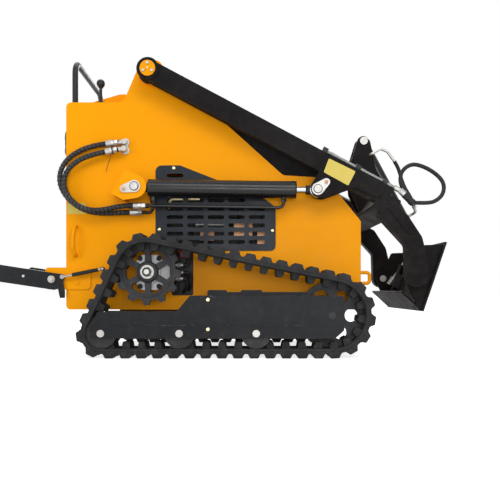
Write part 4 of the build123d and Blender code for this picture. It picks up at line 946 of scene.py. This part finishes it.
fitted("lever_gaiters", "hose_rubber", [
    ("solid", (-560, -225, 1200), UP,
     [(0, 37), (4, 37), (7, 31), (11, 34), (15, 26), (19, 29), (23, 20), (27, 23), (32, 12),
      (40, 8.5)], 40),
    ("solid", (-560, -225, 1299), UP, [(0, 9), (4, 12), (8, 12)], 24)])
fitted("tank_cap", "black_plastic", [
    ("turn", (-474, 258, 1199.8), UP, stub(33, 6, 8, 30), 40),
    ("solid", (-474, 258, 1207), UP, [(0, 28), (22, 27), (26, 23)], 16)], mirror=False)
fitted("grab_bar_flanges", "black_plastic", [
    ("turn", (-670, -285, 1199.8), UP, [(0, 14.2), (0, 27), (5, 27), (8, 20), (8, 14.2)], 36)])
fitted("pivot_bolts", "zinc", [
    ("hex", (ARM_PIVOT[0] + 23 * cos(a), PIVOT_FACE, ARM_PIVOT[1] + 23 * sin(a)), OUT, 13, 6, a)
    for a in (radians(90), radians(210), radians(330))])
fitted("pivot_nipples", "pale_gold", [
    ("solid", (ARM_PIVOT[0], PIVOT_FACE, ARM_PIVOT[1]), OUT,
     [(0, 5), (4, 5), (5, 3), (9, 3)], 14)])
fitted("tilt_gland", "barrel_black", [
    ("turn", (1004.2, 0, 640.4), (0.4739, 0, -0.8806),
     [(-2, 29), (0, 31), (16, 31), (18, 29), (20, 31), (24, 30), (24, 22), (26, 14.5)], 40)],
    "tilt_barrel", mirror=False)
fitted("tilt_elbow", "zinc", [
    ("bar", filleted([(1029, -40.6, 745), (1040, -34, 712), (1026, -16, 703), (1003, -9, 691)], 10),
     7.7, 16),
    ("hex", (1029, -40.6, 745), (0.311, 0.186, -0.932), 22, 13),
    ("hex", (1011, -11.4, 695.2), (-0.855, 0.26, -0.446), 22, 12)], "tilt_barrel", mirror=False)
fitted("frame_stiffeners", "frame_black", [
    ("bar", [(-440, -533.6, 148), (430, -533.6, 148)], 2.4, 8),
    ("solid", (-345, -533.7, 185), OUT, [(0, 26), (0.8, 27), (1.6, 26)], 36)], bevel=0)

# -------------------------------- thigh pad
PAD_BACK, PAD_MIDDLE, PAD_SIZE = -702.6, 1035, (40, 426, 136)
PAD_LIMIT, PAD_CREEP = -750.2, 7    # rearmost face, and the furthest that the cloth may move
SEAM_R, SEAM_STEP = 25, 10          # corner radius, and degrees between its points


def pad_block():
    """Rounded block for the cushion, a little smaller than the CAD pad."""
    shape = bmesh.new()
    bmesh.ops.create_cube(shape, size=1.0)
    for vertex in shape.verts:
        vertex.co = Vector((PAD_BACK - PAD_SIZE[0] / 2 + vertex.co.x * PAD_SIZE[0],
                            vertex.co.y * PAD_SIZE[1], PAD_MIDDLE + vertex.co.z * PAD_SIZE[2]))
    upright = [e for e in shape.edges if abs(e.verts[0].co.x - e.verts[1].co.x) > 1]
    bmesh.ops.bevel(shape, geom=upright, offset=26, segments=6, affect="EDGES", profile=0.5)
    face = PAD_BACK - PAD_SIZE[0] + 0.5
    front = [e for e in shape.edges if all(v.co.x < face for v in e.verts)
             and len(e.link_faces) == 2 and e.calc_face_angle(0) > 0.5]
    bmesh.ops.bevel(shape, geom=front, offset=9, segments=3, affect="EDGES", profile=0.5)
    return shape


def apply_modifiers(obj):
    """Replaces an object's mesh with what its modifiers make of it."""
    made = bpy.data.meshes.new_from_object(obj.evaluated_get(bpy.context.evaluated_depsgraph_get()))
    obj.modifiers.clear()
    obj.data = made


pad = mesh_piece("thigh_pad_cushion", pad_block(), None, "pad_vinyl", angle=60)
remesh = pad.modifiers.new("remesh", "REMESH")
remesh.mode, remesh.voxel_size = "VOXEL", 0.005
apply_modifiers(pad)
held = pad.vertex_groups.new(name="back")
held.add([v.index for v in pad.data.vertices if v.co.x > (PAD_BACK - 4) * MM], 1.0, "REPLACE")
cloth = pad.modifiers.new("cloth", "CLOTH")
cloth.settings.use_pressure, cloth.settings.uniform_pressure_force = True, 4.0
cloth.settings.effector_weights.gravity = 0
cloth.settings.vertex_group_mass = "back"
before = [v.co.copy() for v in pad.data.vertices]
for number in range(1, 21):
    scene.frame_set(number)
bpy.context.view_layer.update()
apply_modifiers(pad)
for vertex, start in zip(pad.data.vertices, before):
    step = vertex.co - start
    if step.length > PAD_CREEP * MM:
        vertex.co = start + step * (PAD_CREEP * MM / step.length)
    vertex.co.x = min(max(vertex.co.x, PAD_LIMIT * MM), PAD_BACK * MM)
scene.frame_set(1)
pad.data.polygons.foreach_set("use_smooth", [True] * len(pad.data.polygons))
finer = pad.modifiers.new("finer", "SUBSURF")
finer.levels = finer.render_levels = 1
apply_modifiers(pad)
pad.data.materials.clear()
pad.data.materials.append(materials["pad_vinyl"])
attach(pad, "chassis")
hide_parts("thigh_pad")
reach, rise = PAD_SIZE[1] / 2 - 1, PAD_SIZE[2] / 2 - 1
seam = [(PAD_BACK - 30, (reach - SEAM_R) * sy + SEAM_R * cos(radians(turned)),
         PAD_MIDDLE + (rise - SEAM_R) * sz + SEAM_R * sin(radians(turned)))
        for sy, sz, first in ((1, 1, 0), (-1, 1, 90), (-1, -1, 180), (1, -1, 270))
        for turned in range(first, first + 91, SEAM_STEP)]
fitted("thigh_pad_piping", "hose_rubber", [("bar", seam + seam[:2], 2.4, 8)],
       mirror=False, bevel=0)
fitted("thigh_pad_board", "black_plastic", [
    ("box", (-706, 963), (-702.2, 1107), -219, 219)], mirror=False, bevel=1)

# -------------------------------- floor
# pale, and glowing towards white with distance from the machine where the camera sees it
floor_mesh = bpy.data.meshes.new("floor")
floor_mesh.from_pydata([(-30, -30, 0), (30, -30, 0), (30, 30, 0), (-30, 30, 0)], [], [(0, 1, 2, 3)])
floor = placed("floor", floor_mesh)
pale = bpy.data.materials.new("pale_floor")
pale.use_nodes = True
surface = pale.node_tree.nodes["Principled BSDF"]
surface.inputs["Base Color"].default_value = (0.6, 0.6, 0.6, 1)
surface.inputs["Roughness"].default_value = 0.9
surface.inputs["Specular IOR Level"].default_value = 0.0
surface.inputs["Emission Color"].default_value = (1, 1, 1, 1)
floor_tree, floor_link = pale.node_tree, pale.node_tree.links.new
spot = floor_tree.nodes.new("ShaderNodeTexCoord")
away = floor_tree.nodes.new("ShaderNodeVectorMath")
away.operation = "LENGTH"
floor_link(spot.outputs["Object"], away.inputs[0])
glow = ramp_node(floor_tree, away.outputs["Value"], 1.0, 4.0, 0.78, 1.0)
floor_link(math_node(floor_tree, "MULTIPLY", glow, seen_rays(floor_tree)),
           surface.inputs["Emission Strength"])
floor_mesh.materials.append(pale)
